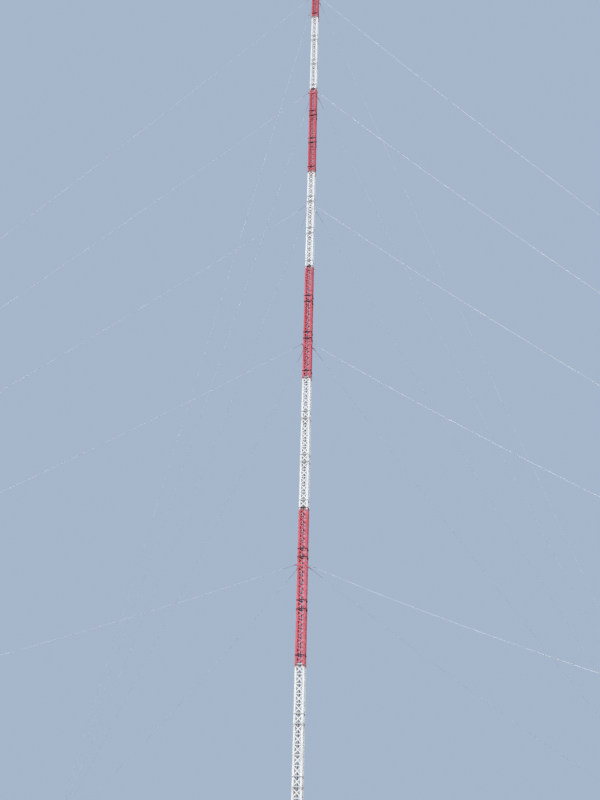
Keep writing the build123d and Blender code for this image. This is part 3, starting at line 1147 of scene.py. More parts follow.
@dataclass
class HexBolt:
    """A bolt with washer and nut: its head lies at its origin, and it points along Z.

    Attributes:
        flats: hexagon's size across its corners, halved.
        head: height of the head.
        washer: thickness of the washer under the head.
        grip: thickness that it holds together.
        tail: how far the thread stands past the nut.
        washer_share, shank_share: radius of the washer and of the thread, as a share of the flats.
        nut_share: height of the nut, as a share of the head's.
        corner_share: how much the head's corners are broken, as a share of the flats.
    """

    flats: float = 0.0056
    head: float = 0.0040
    washer: float = 0.0011
    grip: float = 0.009
    tail: float = 0.004
    washer_share: float = 1.3
    shank_share: float = 0.52
    nut_share: float = 1.1
    corner_share: float = 0.14

    def build(self, bm: BMesh) -> None:
        """Adds the bolt to a mesh, with the outer corners of its head broken.

        Args:
            bm: the mesh.
        """
        nut = self.head * self.nut_share
        add_rod(bm, self.flats * self.washer_share, self.washer, shift(0, 0, -self.washer), 10)
        head = add_rod(bm, self.flats, self.head, shift(0, 0, -self.washer - self.head), 6)
        outer = min((f for v in head for f in v.link_faces), key=lambda f: f.calc_center_median().z)
        break_edges(bm, list(outer.edges), self.flats * self.corner_share)
        add_rod(bm, self.flats, nut, shift(0, 0, self.grip), 6)
        add_rod(bm, self.flats * self.shank_share, self.tail, shift(0, 0, self.grip + nut), 8)


@dataclass
class StudBolt:
    """A stud that stands out of a plate, with washer and nut, along Z from the plate's face."""

    radius: float
    nut: float
    nut_height: float
    washer: float
    stands: float
    pitch: float = 0.0018
    washer_share: float = 1.35
    corner_share: float = 0.09
    root_share: float = 0.88
    end_share: float = 0.8

    def build(self, bm: BMesh) -> None:
        """Adds the stud to a mesh.

        Args:
            bm: the mesh.
        """
        add_rod(bm, self.nut * self.washer_share, self.washer, Matrix(), 16)
        edge = self.nut * self.corner_share
        add_rod(bm, self.nut, self.nut_height, shift(0, 0, self.washer), 6, edge)
        radii = (self.radius, self.radius * self.root_share, self.radius * self.end_share)
        count = math.ceil((self.stands - self.washer) / self.pitch) - 1
        add_turned(bm, thread(radii, self.washer, self.stands, self.pitch, count), Matrix(), 12)


@dataclass
class Assembly:
    """A sub-assembly, which is made to the mast's sizes in the workshop."""

    sizes: MastSizes
    shop: Workshop


@dataclass
class LatticeTrim(Assembly):
    """The finer bracing of the bands, and their ring frames, splices and bolts."""

    bar_depth: float = 0.026
    counter_width: float = 0.030
    counter_thickness: float = 0.0024
    flange_depth: float = 0.020
    rim_width: float = 0.013
    diagonal_width: float = 0.020
    diagonal_lean: float = 45.0
    diagonal_trim: float = 0.115
    splice_width: float = 0.048
    splice_length: float = 0.120
    splice_bolt_rows: tuple[float, ...] = (-0.045, -0.020, 0.020, 0.045)
    splice_bolt_spread: float = 0.012
    splice_edge_share: float = 0.25

    def build(self) -> None:
        """Makes the trim of every band, from the ground."""
        sizes = self.sizes
        bolt = template(HexBolt(grip=sizes.leg_thickness + 2 * sizes.bar_thickness).build)
        splice = template(lambda bm: self.add_splice(bm, bolt))
        for band in range(sizes.band_count):
            name = f"band_{band + 1}"
            slot = self.shop.slot_of[f"{name}_legs"]
            self.shop.piece(f"{name}_panel_bars", self.panel_bars(band), slot)
            self.shop.piece(f"{name}_counter_bars", self.counter_bars(band), slot)
            self.shop.piece(f"{name}_ring_frames", self.ring_frames(band), slot, (f"{name}_rings",))
            self.shop.piece(f"{name}_splices", self.splices(band, splice), slot)
            self.shop.piece(f"{name}_bolts", self.bolts(band, bolt), slot)

    def in_band(self, band: int, heights: list[float]) -> list[float]:
        """Those of some heights that lie in a band."""
        foot = self.sizes.band_foot(band)
        return [height for height in heights if foot <= height < foot + self.sizes.band_length]

    def panel_points(self, band: int, first: int) -> list[float]:
        """Heights of a band's panel points, counted from 0 at each joint and starting at the first."""
        rises = [index * self.sizes.panel_height for index in range(first, self.sizes.panels_per_section)]
        return [joint + rise for joint in self.in_band(band, self.sizes.joints()) for rise in rises]

    def leg_places(self, height: float, face: float) -> list[Matrix]:
        """Places on the outer flanges of all legs, in the frames of their sides."""
        line = self.sizes.leg_line
        return [side @ shift(x, -face, height) for side in turns(4) for x in (-line, line)]

    def panel_bars(self, band: int) -> BMesh:
        """Level bars at the panel points that have no ring frame.

        Args:
            band: the band, with 0 for the lowest.

        Returns:
            The mesh.
        """
        bm = bmesh.new()
        for height in self.panel_points(band, 2):
            foot = height - self.bar_depth / 2
            add_square_ring(bm, self.sizes.ring_outer, self.sizes.bar_thickness, self.bar_depth, foot)
        return bm

    def counter_bars(self, band: int) -> BMesh:
        """The second diagonals of the panels, which cross the zigzag and end behind the legs.

        Args:
            band: the band, with 0 for the lowest.

        Returns:
            The mesh.
        """
        sizes = self.sizes
        slope = math.atan2(sizes.panel_height, 2 * sizes.brace_reach)
        length = (2 * sizes.brace_reach - self.counter_width * math.sin(slope)) / math.cos(slope)
        plane = -sizes.brace_outer + sizes.bar_thickness / 2
        bm = bmesh.new()
        for index, height in enumerate(self.panel_points(band, 0)):
            lean = math.degrees(slope) * (-1 if index % 2 else 1)
            middle = shift(0, plane, height + sizes.panel_height / 2) @ turn(lean, "Y")
            for side in turns(4):
                add_block(bm, (length, self.counter_thickness, self.counter_width), side @ middle)
        return bm

    def ring_frames(self, band: int) -> BMesh:
        """The ring frames that have a band's paint: plate, upright flange and rim, and joints' diagonals.

        The ring frame of a joint belongs to the section under it, and only the lowest one to its own band.

        Args:
            band: the band, with 0 for the lowest.

        Returns:
            The mesh.
        """
        sizes = self.sizes
        past_joint = 2 * sizes.ring_thickness
        lowest = sizes.band_foot(band) + (past_joint if band else 0.0)
        highest = sizes.band_foot(band + 1) + past_joint
        bm = bmesh.new()
        for index, top in enumerate(sizes.ring_tops()):
            if not lowest <= top < highest:
                continue
            foot = top - sizes.ring_thickness
            add_square_ring(bm, sizes.ring_outer, sizes.ring_width, sizes.ring_thickness, foot)
            add_square_ring(bm, sizes.ring_outer, sizes.bar_thickness, self.flange_depth, top)
            add_square_ring(bm, sizes.half_face + self.rim_width, self.rim_width, sizes.ring_thickness, foot)
            joint, between = divmod(index, 2)
            if not between:
                self.add_diagonal(bm, top, -self.diagonal_lean if joint % 2 else self.diagonal_lean)
        return bm

    def add_diagonal(self, bm: BMesh, foot: float, degrees: float) -> None:
        """Adds the flat bar that crosses a joint from corner to corner."""
        size = (2 * DIAGONAL * self.diagonal_trim, self.diagonal_width, self.sizes.bar_thickness)
        add_block(bm, size, shift(0, 0, foot + size[2] / 2) @ turn(degrees))

    def add_splice(self, bm: BMesh, bolt: Mesh) -> None:
        """Adds one splice plate with its bolts, lying on a leg whose face is at Y 0.

        Args:
            bm: the mesh.
            bolt: a bolt's template.
        """
        thickness = self.sizes.leg_thickness
        plate = (self.splice_width, thickness, self.splice_length)
        add_block(bm, plate, shift(0, -thickness / 2, 0), thickness * self.splice_edge_share)
        spots = product((-self.splice_bolt_spread, self.splice_bolt_spread), self.splice_bolt_rows)
        stamp(bm, bolt, [shift(x, -thickness, row) @ TO_Y for x, row in spots])

    def splices(self, band: int, splice: Mesh) -> BMesh:
        """Splice plates on the legs at the joints between sections.

        Args:
            band: the band, with 0 for the lowest.
            splice: a splice's template.

        Returns:
            The mesh.
        """
        bm = bmesh.new()
        for joint in self.in_band(band, self.sizes.joints()[1:]):
            stamp(bm, splice, self.leg_places(joint, self.sizes.half_face))
        return bm

    def bolts(self, band: int, bolt: Mesh) -> BMesh:
        """Bolts through the legs at the panel points between the joints, and where diagonals cross.

        Args:
            band: the band, with 0 for the lowest.
            bolt: a bolt's template.

        Returns:
            The mesh.
        """
        sizes = self.sizes
        bm = bmesh.new()
        over_joints = self.in_band(band, sizes.ring_tops())[1::2]
        rows = [(top + self.flange_depth / 2, sizes.half_face) for top in over_joints]
        for height in self.panel_points(band, 2):
            collared = any(abs(height - level) < sizes.panel_height / 2 for level in sizes.guy_levels)
            rows.append((height, sizes.collar_face if collared else sizes.half_face))
        for height, face in rows:
            stamp(bm, bolt, [place @ TO_Y for place in self.leg_places(height, face)])
        for height in self.panel_points(band, 0):
            crossing = shift(0, -sizes.brace_outer, height + sizes.panel_height / 2) @ TO_Y
            stamp(bm, bolt, [side @ crossing for side in turns(4)])
        return bm


@dataclass
class GuyHardware:
    """Shackle, thimble, wire grip and turnbuckle of a guy.

    In every template Z runs along the guy, away from what holds it, and X along the pin.
    """

    bow_rod: float = 0.004
    bow_half: float = 0.011
    bow_leg: float = 0.034
    bow_steps: int = 12
    ear_radius: float = 0.009
    ear_depth: float = 0.008
    fine_edge: float = 0.001
    pin_length: float = 0.042
    hexagon_share: float = 1.75
    nut_share: float = 1.2
    pin_edge_share: float = 0.15
    cotter_share: float = 0.6
    cotter_half: float = 0.009
    cotter_wire: float = 0.0009
    loop_radius: float = 0.0145
    loop_rod: float = 0.004
    loop_length: float = 0.062
    loop_steps: int = 14
    tip_trim: float = 0.006
    tip_share: float = 0.2
    rim_gap: float = 0.0052
    rim_rise: float = 0.001
    rim_rod: float = 0.0016
    grip_radius: float = 0.0064
    grip_length: float = 0.42
    grip_lay: float = 0.052
    grip_lap: float = 0.012
    grip_lobe: float = 0.80
    grip_taper: float = 0.94
    grip_fall: float = 2.5
    grip_steps_per_turn: int = 12
    cheek: tuple[float, float, float] = (0.006, 0.024, 0.072)
    cheek_gap: float = 0.0055
    jaw_reach: float = 0.056
    jaw_inset: float = 0.004
    jaw_edge: float = 0.002
    bridge_depth: float = 0.014
    screw_radius: float = 0.005
    screw_root: float = 0.0043
    screw_pitch: float = 0.0032
    screw_length: float = 0.05
    screw_seat: float = 0.012
    eye_seat: float = 0.002
    body_start: float = 0.098
    body_end: float = 0.262
    body_half: float = 0.014
    body_rod: float = 0.0042
    hub_radius: float = 0.0085
    hub_depth: float = 0.022
    hub_edge: float = 0.0015
    hub_bar: tuple[float, float] = (0.009, 0.014)
    eye_middle: float = 0.306
    eye_radius: float = 0.012
    eye_steps: int = 20

    @property
    def bow_crown(self) -> float:
        """Distance from a lug's pin to the rod that the thimble hangs on."""
        return self.bow_leg + self.bow_half

    @property
    def eye_crown(self) -> float:
        """Distance from a fan's pin to the rod that the thimble hangs on."""
        return self.eye_middle + self.eye_radius

    @property
    def loop_middle(self) -> float:
        """Distance from the rod that a thimble hangs on to the middle of its round end."""
        return self.loop_radius - self.loop_rod - self.bow_rod

    @property
    def loop_tip(self) -> float:
        """Distance from the rod that a thimble hangs on to where its legs meet."""
        return self.loop_middle + self.loop_length

    def add_pin(self, bm: BMesh, radius: float) -> None:
        """Adds a pin along X with a hexagon head, a nut and a split pin.

        Args:
            bm: the mesh.
            radius: the pin's radius.
        """
        half = self.pin_length / 2
        hexagon = radius * self.hexagon_share
        nut = radius * self.nut_share
        add_rod(bm, radius, self.pin_length, shift(-half, 0, 0) @ TO_X, 12, radius * self.pin_edge_share)
        add_rod(bm, hexagon, radius, shift(-half, 0, 0) @ TO_X, 6)
        add_rod(bm, hexagon, nut, shift(half - 2 * nut, 0, 0) @ TO_X, 6)
        drilled = half - radius * self.cotter_share
        cotter = [Vector((drilled, y, 0)) for y in (-self.cotter_half, self.cotter_half)]
        add_swept(bm, self.cotter_wire, 6, along_path(cotter, AXIS_X))

    def add_shackle(self, bm: BMesh) -> None:
        """Adds a bow shackle whose pin lies at the origin.

        Args:
            bm: the mesh.
        """
        half = self.bow_half * AXIS_X
        leg = self.bow_leg * AXIS_Z
        angles = [math.pi * (1 - step / self.bow_steps) for step in range(self.bow_steps + 1)]
        points = [-half, *arc(leg, half, self.bow_half * AXIS_Z, angles), half]
        add_swept(bm, self.bow_rod, 8, along_path(points, AXIS_Y))
        for foot in (-self.bow_half - self.ear_depth / 2, self.bow_half - self.ear_depth / 2):
            add_rod(bm, self.ear_radius, self.ear_depth, shift(foot, 0, 0) @ TO_X, 16, self.fine_edge)
        self.add_pin(bm, self.bow_rod)

    def teardrop(self, radius: float, x: float) -> list[Vector]:
        """Points of a thimble's line: round where it hangs, drawn to a tip along the guy.

        Args:
            radius: radius of its round end.
            x: where it lies along the pin.

        Returns:
            The points, from tip to tip.
        """
        opening = math.acos(radius / self.loop_length)
        sweep = 2 * (math.pi - opening)
        angles = [opening + sweep * step / self.loop_steps for step in range(self.loop_steps + 1)]
        points = arc(Vector((x, 0, self.loop_middle)), radius * AXIS_Z, radius * AXIS_Y, angles)
        side = points[0].y * self.tip_share
        start, end = (Vector((x, y, self.loop_tip - self.tip_trim)) for y in (side, -side))
        return [start, *points, end]

    def add_thimble(self, bm: BMesh) -> None:
        """Adds the loop of wire and the two rims of its thimble, hung on a rod at the origin.

        Args:
            bm: the mesh.
        """
        add_swept(bm, self.loop_rod, 8, along_path(self.teardrop(self.loop_radius, 0.0), AXIS_X))
        for x in (-self.rim_gap, self.rim_gap):
            line = self.teardrop(self.loop_radius + self.rim_rise, x)
            add_swept(bm, self.rim_rod, 6, along_path(line, AXIS_X))

    def add_grip(self, bm: BMesh) -> None:
        """Adds the wires that are wound over the guy beyond a thimble's tip.

        Args:
            bm: the mesh.
        """
        count = round(self.grip_length / self.grip_lay * self.grip_steps_per_turn)
        shares = [step / count for step in range(count + 1)]
        foot = self.loop_tip - self.grip_lap
        stations = [
            shift(0, 0, foot + share * self.grip_length) @ turn(360.0 * step / self.grip_steps_per_turn)
            for step, share in enumerate(shares)
        ]
        swell = [1.0 - self.grip_fall * max(0.0, share - self.grip_taper) for share in shares]
        add_swept(bm, self.grip_radius, 12, stations, swell, self.grip_lobe)

    def add_screw(self, bm: BMesh, foot: float, head: float) -> None:
        """Adds a threaded rod along Z.

        Args:
            bm: the mesh.
            foot: height of its foot.
            head: height of its head.
        """
        radii = (self.screw_root, self.screw_radius, self.screw_root)
        count = round((head - foot) / self.screw_pitch)
        profile = thread(radii, foot, head, self.screw_pitch, count)
        add_turned(bm, profile, Matrix(), 10)

    def add_turnbuckle(self, bm: BMesh) -> None:
        """Adds a jaw on the fan's pin, an open body with its two screws, and an eye.

        Args:
            bm: the mesh.
        """
        width, depth, length = self.cheek
        middle = self.cheek_gap + width / 2
        for x in (-middle, middle):
            place = shift(x, 0, self.jaw_reach - length / 2 + self.jaw_inset)
            add_block(bm, self.cheek, place, self.jaw_edge)
        bridge = (2 * (self.cheek_gap + width), depth, self.bridge_depth)
        add_block(bm, bridge, shift(0, 0, self.jaw_reach + self.bridge_depth / 2), self.jaw_edge)
        self.add_pin(bm, self.screw_radius)
        eye_foot = self.eye_middle - self.eye_radius + self.eye_seat
        self.add_screw(bm, self.jaw_reach + self.screw_seat, self.body_start + self.screw_length)
        self.add_screw(bm, self.body_end - self.screw_length, eye_foot)
        for foot in (self.body_start, self.body_end - self.hub_depth):
            bar = (2 * self.body_half, *self.hub_bar)
            add_rod(bm, self.hub_radius, self.hub_depth, shift(0, 0, foot), 16, self.hub_edge)
            add_block(bm, bar, shift(0, 0, foot + self.hub_depth / 2), self.hub_edge)
        length = self.body_end - self.body_start
        for x in (-self.body_half, self.body_half):
            add_rod(bm, self.body_rod, length, shift(x, 0, self.body_start), 12, self.fine_edge)
        angles = [2 * math.pi * step / self.eye_steps for step in range(self.eye_steps)]
        eye = arc(self.eye_middle * AXIS_Z, self.eye_radius * AXIS_X, self.eye_radius * AXIS_Z, angles)
        add_swept(bm, self.bow_rod, 8, along_path(eye, AXIS_Y, closed=True), closed=True)


@dataclass
class Guys(Assembly):
    """The guys of every level: round strand along the slack line, with hardware at both ends."""

    strand_radius: float = 0.004
    strand_sides: int = 8
    runs: int = 40
    crease: float = 80.0
    overlap: float = 0.02
    near: float = 1e-4

    def build(self) -> None:
        """Makes the guys level by level, from the lowest."""
        hardware = GuyHardware()
        shackle = template(hardware.add_shackle)
        thimble = template(hardware.add_thimble)
        grip = template(hardware.add_grip)
        turnbuckle = template(hardware.add_turnbuckle)
        for level in range(len(self.sizes.guy_levels)):
            strands = bmesh.new()
            strands.verts.layers.float_vector.new(LAY)
            for corner in Corner:
                self.add_strand(strands, level, corner, hardware)
            self.shop.piece(f"guy_strands_{level + 1}", strands, Slot.STRAND, ("guys",), self.crease)
            heads = [self.end(level, corner, 0.0, self.near) for corner in Corner]
            feet = [self.end(level, corner, 1.0, 1.0 - self.near) for corner in Corner]
            hung = [head @ shift(0, 0, hardware.bow_crown) for head in heads]
            hung += [foot @ shift(0, 0, hardware.eye_crown) for foot in feet]
            for name, mesh, places in (
                ("guy_shackles", shackle, heads),
                ("guy_thimbles", thimble, hung),
                ("guy_grips", grip, hung),
                ("guy_turnbuckles", turnbuckle, feet),
            ):
                bm = bmesh.new()
                stamp(bm, mesh, places)
                self.shop.piece(f"{name}_{level + 1}", bm, stands_for=("guys",))

    def end(self, level: int, corner: Corner, share: float, inward: float) -> Matrix:
        """The frame at one end of a guy, with Z along the guy and X along the pin.

        Args:
            level: the guy's level.
            corner: the guy's corner.
            share: where that end lies on the guy.
            inward: where a point beside it lies, further in.

        Returns:
            The frame.
        """
        pin, beyond = (corner.lift(self.sizes.guy_point(level, at)) for at in (share, inward))
        return station(pin, beyond - pin, corner.across)

    def add_strand(self, bm: BMesh, level: int, corner: Corner, hardware: GuyHardware) -> None:
        """Adds one guy's strand, from thimble to thimble.

        Args:
            bm: the mesh.
            level: the guy's level, with 0 for the lowest.
            corner: the guy's corner.
            hardware: what the guy hangs on.
        """
        chord = (self.sizes.guy_point(level, 1.0) - self.sizes.guy_point(level, 0.0)).length
        start = (hardware.bow_crown + hardware.loop_tip - self.overlap) / chord
        end = 1.0 - (hardware.eye_crown + hardware.loop_tip - self.overlap) / chord
        shares = [start + (end - start) * run / self.runs for run in range(self.runs + 1)]
        points = [corner.lift(self.sizes.guy_point(level, share)) for share in shares]
        add_swept(bm, self.strand_radius, self.strand_sides, along_path(points, corner.across))


@dataclass
class CableRun(Assembly):
    """Instrument cables and an earth wire up the back of the mast, on cleats at the ring frames."""

    sheath_radii: tuple[float, ...] = (0.0036, 0.0042, 0.0036)
    crease: float = 60.0
    wander: float = 0.0012
    pitch: float = 0.125
    clearance: float = 0.001
    saddle_depth: float = 0.012
    saddle_thickness: float = 0.0016
    saddle_edge: float = 0.0004
    cleat_edge_share: float = 0.2
    ear: float = 0.012
    screw_share: float = 0.6
    cleat_rise: float = 0.020
    cleat_tread: float = 0.024
    cleat_thickness: float = 0.002

    def build(self) -> None:
        """Makes the cables and their saddles."""
        low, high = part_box("cable_run")
        self.shop.piece("instrument_cables", self.cables(low, high), Slot.CABLE, ("cable_run",), self.crease)
        bm = bmesh.new()
        cleat = template(lambda shape: self.add_cleat(shape, high.x - low.x))
        tops = [top for top in self.sizes.ring_tops() if top + self.cleat_rise < high.z]
        stamp(bm, cleat, [shift((low.x + high.x) / 2, high.y, top) for top in tops])
        self.shop.piece("cable_saddles", bm)

    def cables(self, low: Vector, high: Vector) -> BMesh:
        """The cables, which wander a little between their saddles.

        Args:
            low: lowest corner of the run.
            high: its highest corner.

        Returns:
            The mesh.
        """
        chance = random.Random(SEED)
        bm = bmesh.new()
        size = high - low
        count = round(size.z / self.pitch)
        for index, radius in enumerate(self.sheath_radii):
            line = low.x + size.x * (index + 0.5) / len(self.sheath_radii)
            points = []
            for step in range(count + 1):
                stray = chance.uniform(-self.wander, self.wander) if step % 2 else 0.0
                back = high.y - radius - self.clearance - abs(stray)
                points.append(Vector((line + stray, back, low.z + size.z * step / count)))
            add_swept(bm, radius, 8, along_path(points, AXIS_X))
        return bm

    def add_cleat(self, bm: BMesh, span: float) -> None:
        """Adds an angle that stands on a ring frame's inner edge, and the saddle bolted to it.

        Args:
            bm: the mesh, with the cables' backs at Y 0 and the ring frame's top at Z 0.
            span: width over the cables.
        """
        thin = self.cleat_thickness
        sheet = self.saddle_thickness
        width = span + 2 * (sheet + self.ear)
        for depth, rise in ((thin, self.cleat_rise), (self.cleat_tread, thin)):
            flange = (width, depth, rise)
            add_block(bm, flange, shift(0, depth / 2, rise / 2), thin * self.cleat_edge_share)
        middle = self.cleat_rise - self.saddle_depth / 2 - thin
        front = -2 * max(self.sheath_radii) - sheet
        bridge = (span + 2 * sheet, sheet, self.saddle_depth)
        add_block(bm, bridge, shift(0, front, middle), self.saddle_edge)
        for side in (-1, 1):
            screw = shift(side * span / 2, self.cleat_tread * self.screw_share, thin + SCREW_HEIGHT) @ OVER
            add_screw_head(bm, screw)
            edge = side * (span / 2 + sheet / 2)
            ear_x = edge + side * self.ear / 2
            ear = (self.ear, sheet, self.saddle_depth)
            add_block(bm, (sheet, -front, self.saddle_depth), shift(edge, front / 2, middle))
            add_block(bm, ear, shift(ear_x, -sheet / 2, middle), self.saddle_edge)
            add_screw_head(bm, shift(ear_x, -sheet - SCREW_HEIGHT, middle) @ TO_Y)


@dataclass
class FootTrim(Assembly):
    """Bolts and welds of the pinned foot."""

    bolt_line: float = 0.100
    weld_rise: float = 0.001
    gusset_start: float = 0.024
    gusset_half: float = 0.004
    collar: Profile = ((0.0, -0.016), (0.027, -0.016), (0.030, -0.013), (0.030, 0.0), (0.0, 0.0))

    def build(self) -> None:
        """Makes the anchor bolts, the collar of the pin and the welds."""
        pivot_low, pivot_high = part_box("base_pivot")
        studs = bmesh.new()
        stud = template(StudBolt(0.008, nut=0.014, nut_height=0.013, washer=0.003, stands=0.034).build)
        stamp(studs, stud, square(self.bolt_line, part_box("base_plate")[1].z))
        self.shop.piece("foundation_bolts", studs)

        collar = bmesh.new()
        add_turned(collar, self.collar, shift(0, 0, pivot_high.z), 32)
        self.shop.piece("pivot_collar", collar)
        self.shop.piece("foot_welds", self.welds(pivot_low.z, pivot_high.x))

    def welds(self, gusset_foot: float, gusset_reach: float) -> BMesh:
        """Welds along the pivot's gussets and round the feet of the legs.

        Args:
            gusset_foot: height of the gussets' feet.
            gusset_reach: how far they reach from the mast's axis.

        Returns:
            The welds.
        """
        chance = random.Random(SEED + 1)
        welds = bmesh.new()
        height = gusset_foot + self.weld_rise
        for side, edge in product(turns(4), (-self.gusset_half, self.gusset_half)):
            ends = [side @ Vector((x, edge, height)) for x in (self.gusset_start, gusset_reach)]
            add_weld(welds, *ends, chance)
        heel = self.sizes.half_face
        corner = Vector((heel, heel, self.sizes.foot + self.weld_rise))
        for side, axis in product(turns(4), (AXIS_X, AXIS_Y)):
            add_weld(welds, side @ corner, side @ (corner - self.sizes.leg_flange * axis), chance)
        return welds


@dataclass
class GuyFrameTrim(Assembly):
    """Welds between the collars and their lugs."""

    collar_depth: float = 0.050
    trim: float = 0.002

    def build(self) -> None:
        """Makes the welds of every guy frame."""
        chance = random.Random(SEED + 2)
        bm = bmesh.new()
        half = self.sizes.lug_plate / 2
        reach = self.sizes.collar_face * DIAGONAL - self.trim - half
        rise = (self.collar_depth - 2 * self.trim) * AXIS_Z
        for level, corner, y in product(self.sizes.guy_levels, Corner, (half, -half)):
            low = corner.frame @ Vector((reach, y, level)) - rise / 2
            add_weld(bm, low, low + rise, chance)
        self.shop.piece("lug_welds", bm)


@dataclass
class AnchorTrim(Assembly):
    """Bolts and welds of the four guy anchors."""

    bolt_line: float = 0.075
    shank_half: float = 0.042
    weld_rise: float = 0.001
    weld_radius: float = 0.004

    def build(self) -> None:
        """Makes the studs and the welds of every anchor."""
        chance = random.Random(SEED + 3)
        stud = template(StudBolt(0.007, nut=0.012, nut_height=0.011, washer=0.0025, stands=0.028).build)
        plate_top = self.sizes.block_top + self.sizes.foot_plate
        half = self.sizes.lug_plate / 2
        for corner in Corner:
            place = corner.frame @ shift(self.sizes.block_reach, 0, plate_top)
            bm = bmesh.new()
            stamp(bm, stud, [place @ spot for spot in square(self.bolt_line)])
            for y in (-half, half):
                ends = [place @ Vector((x, y, self.weld_rise)) for x in (-self.shank_half, self.shank_half)]
                add_weld(bm, *ends, chance, self.weld_radius)
            self.shop.piece(f"anchor_bolts_{corner.name.lower()}", bm)


@dataclass
class HeadTrim(Assembly):
    """Flange of the post on the mast's top plate, and the clamp of the lightning rod."""

    flange: Profile = (
        (0.019, 0.024), (0.019, 0.0), (0.052, 0.0), (0.052, 0.007), (0.051, 0.008),
        (0.026, 0.008), (0.0235, 0.011), (0.0225, 0.024), (0.019, 0.024),
    )
    flange_seat: float = 0.008
    bolt_circle: float = 0.040
    bolt_count: int = 6
    post_height: float = 0.260
    socket: Profile = (
        (0.0055, 0.030), (0.0055, 0.0), (0.021, 0.0), (0.021, 0.004),
        (0.012, 0.010), (0.0115, 0.026), (0.009, 0.030), (0.0055, 0.030),
    )
    screw_rise: float = 0.018
    screw_out: float = 0.011
    screw: tuple[float, float] = (0.0032, 0.006)

    def build(self) -> None:
        """Makes the flange, its bolts and the rod's clamp."""
        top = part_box("top_plate")[1].z
        bm = bmesh.new()
        add_turned(bm, self.flange, shift(0, 0, top), 36)
        bolt = template(HexBolt(flats=0.0065, head=0.005, grip=0.019).build)
        seat = shift(self.bolt_circle, 0, top + self.flange_seat) @ OVER
        stamp(bm, bolt, [around @ seat for around in turns(self.bolt_count)])
        stamp(bm, bolt, [place @ OVER for place in square(self.sizes.leg_line, top)])
        self.shop.piece("head_flange", bm)

        clamp = bmesh.new()
        post_top = top + self.post_height
        add_turned(clamp, self.socket, shift(0, 0, post_top), 24)
        for around in turns(3):
            screw = around @ shift(self.screw_out, 0, post_top + self.screw_rise) @ TO_X
            add_rod(clamp, *self.screw, screw, 6, SCREW_EDGE)
        self.shop.piece("rod_socket", clamp)


@dataclass
class BoomTrim(Assembly):
    """Clamps that hold the instrument booms to the legs, and the plugs in the booms' ends."""

    plate: tuple[float, float, float] = (0.034, 0.004, 0.070)
    plate_edge: float = 0.0008
    bolt_rise: float = 0.024
    plug_depth: float = 0.004
    plug_stands: float = 0.001
    plug_share: float = 0.9
    plug_edge: float = 0.0012

    def build(self) -> None:
        """Makes the clamps and plugs of both booms."""
        bolt = template(HexBolt(flats=0.0062, head=0.0045, grip=0.036, tail=0.006).build)
        clamps = bmesh.new()
        plugs = bmesh.new()
        for name in ("anemometer_boom", "vane_boom"):
            low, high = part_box(name)
            middle = middle_of(name)
            side = -1 if middle.y < 0 else 1
            outer = side * max(abs(low.y), abs(high.y))
            inward = TO_Y if side < 0 else TO_Y @ OVER
            for x in (-self.sizes.leg_line, self.sizes.leg_line):
                place = shift(x, outer + side * self.plate[1] / 2, middle.z)
                add_block(clamps, self.plate, place, self.plate_edge)
                for rise in (-self.bolt_rise, self.bolt_rise):
                    stamp(clamps, bolt, [place @ shift(0, side * self.plate[1] / 2, rise) @ inward])
            width = (high.z - low.z) * self.plug_share
            for x in (low.x - self.plug_stands, high.x + self.plug_stands):
                place = shift(x, middle.y, middle.z)
                add_block(plugs, (self.plug_depth, width, width), place, self.plug_edge)
        self.shop.piece("boom_clamps", clamps)
        self.shop.piece("boom_plugs", plugs, Slot.CABLE)


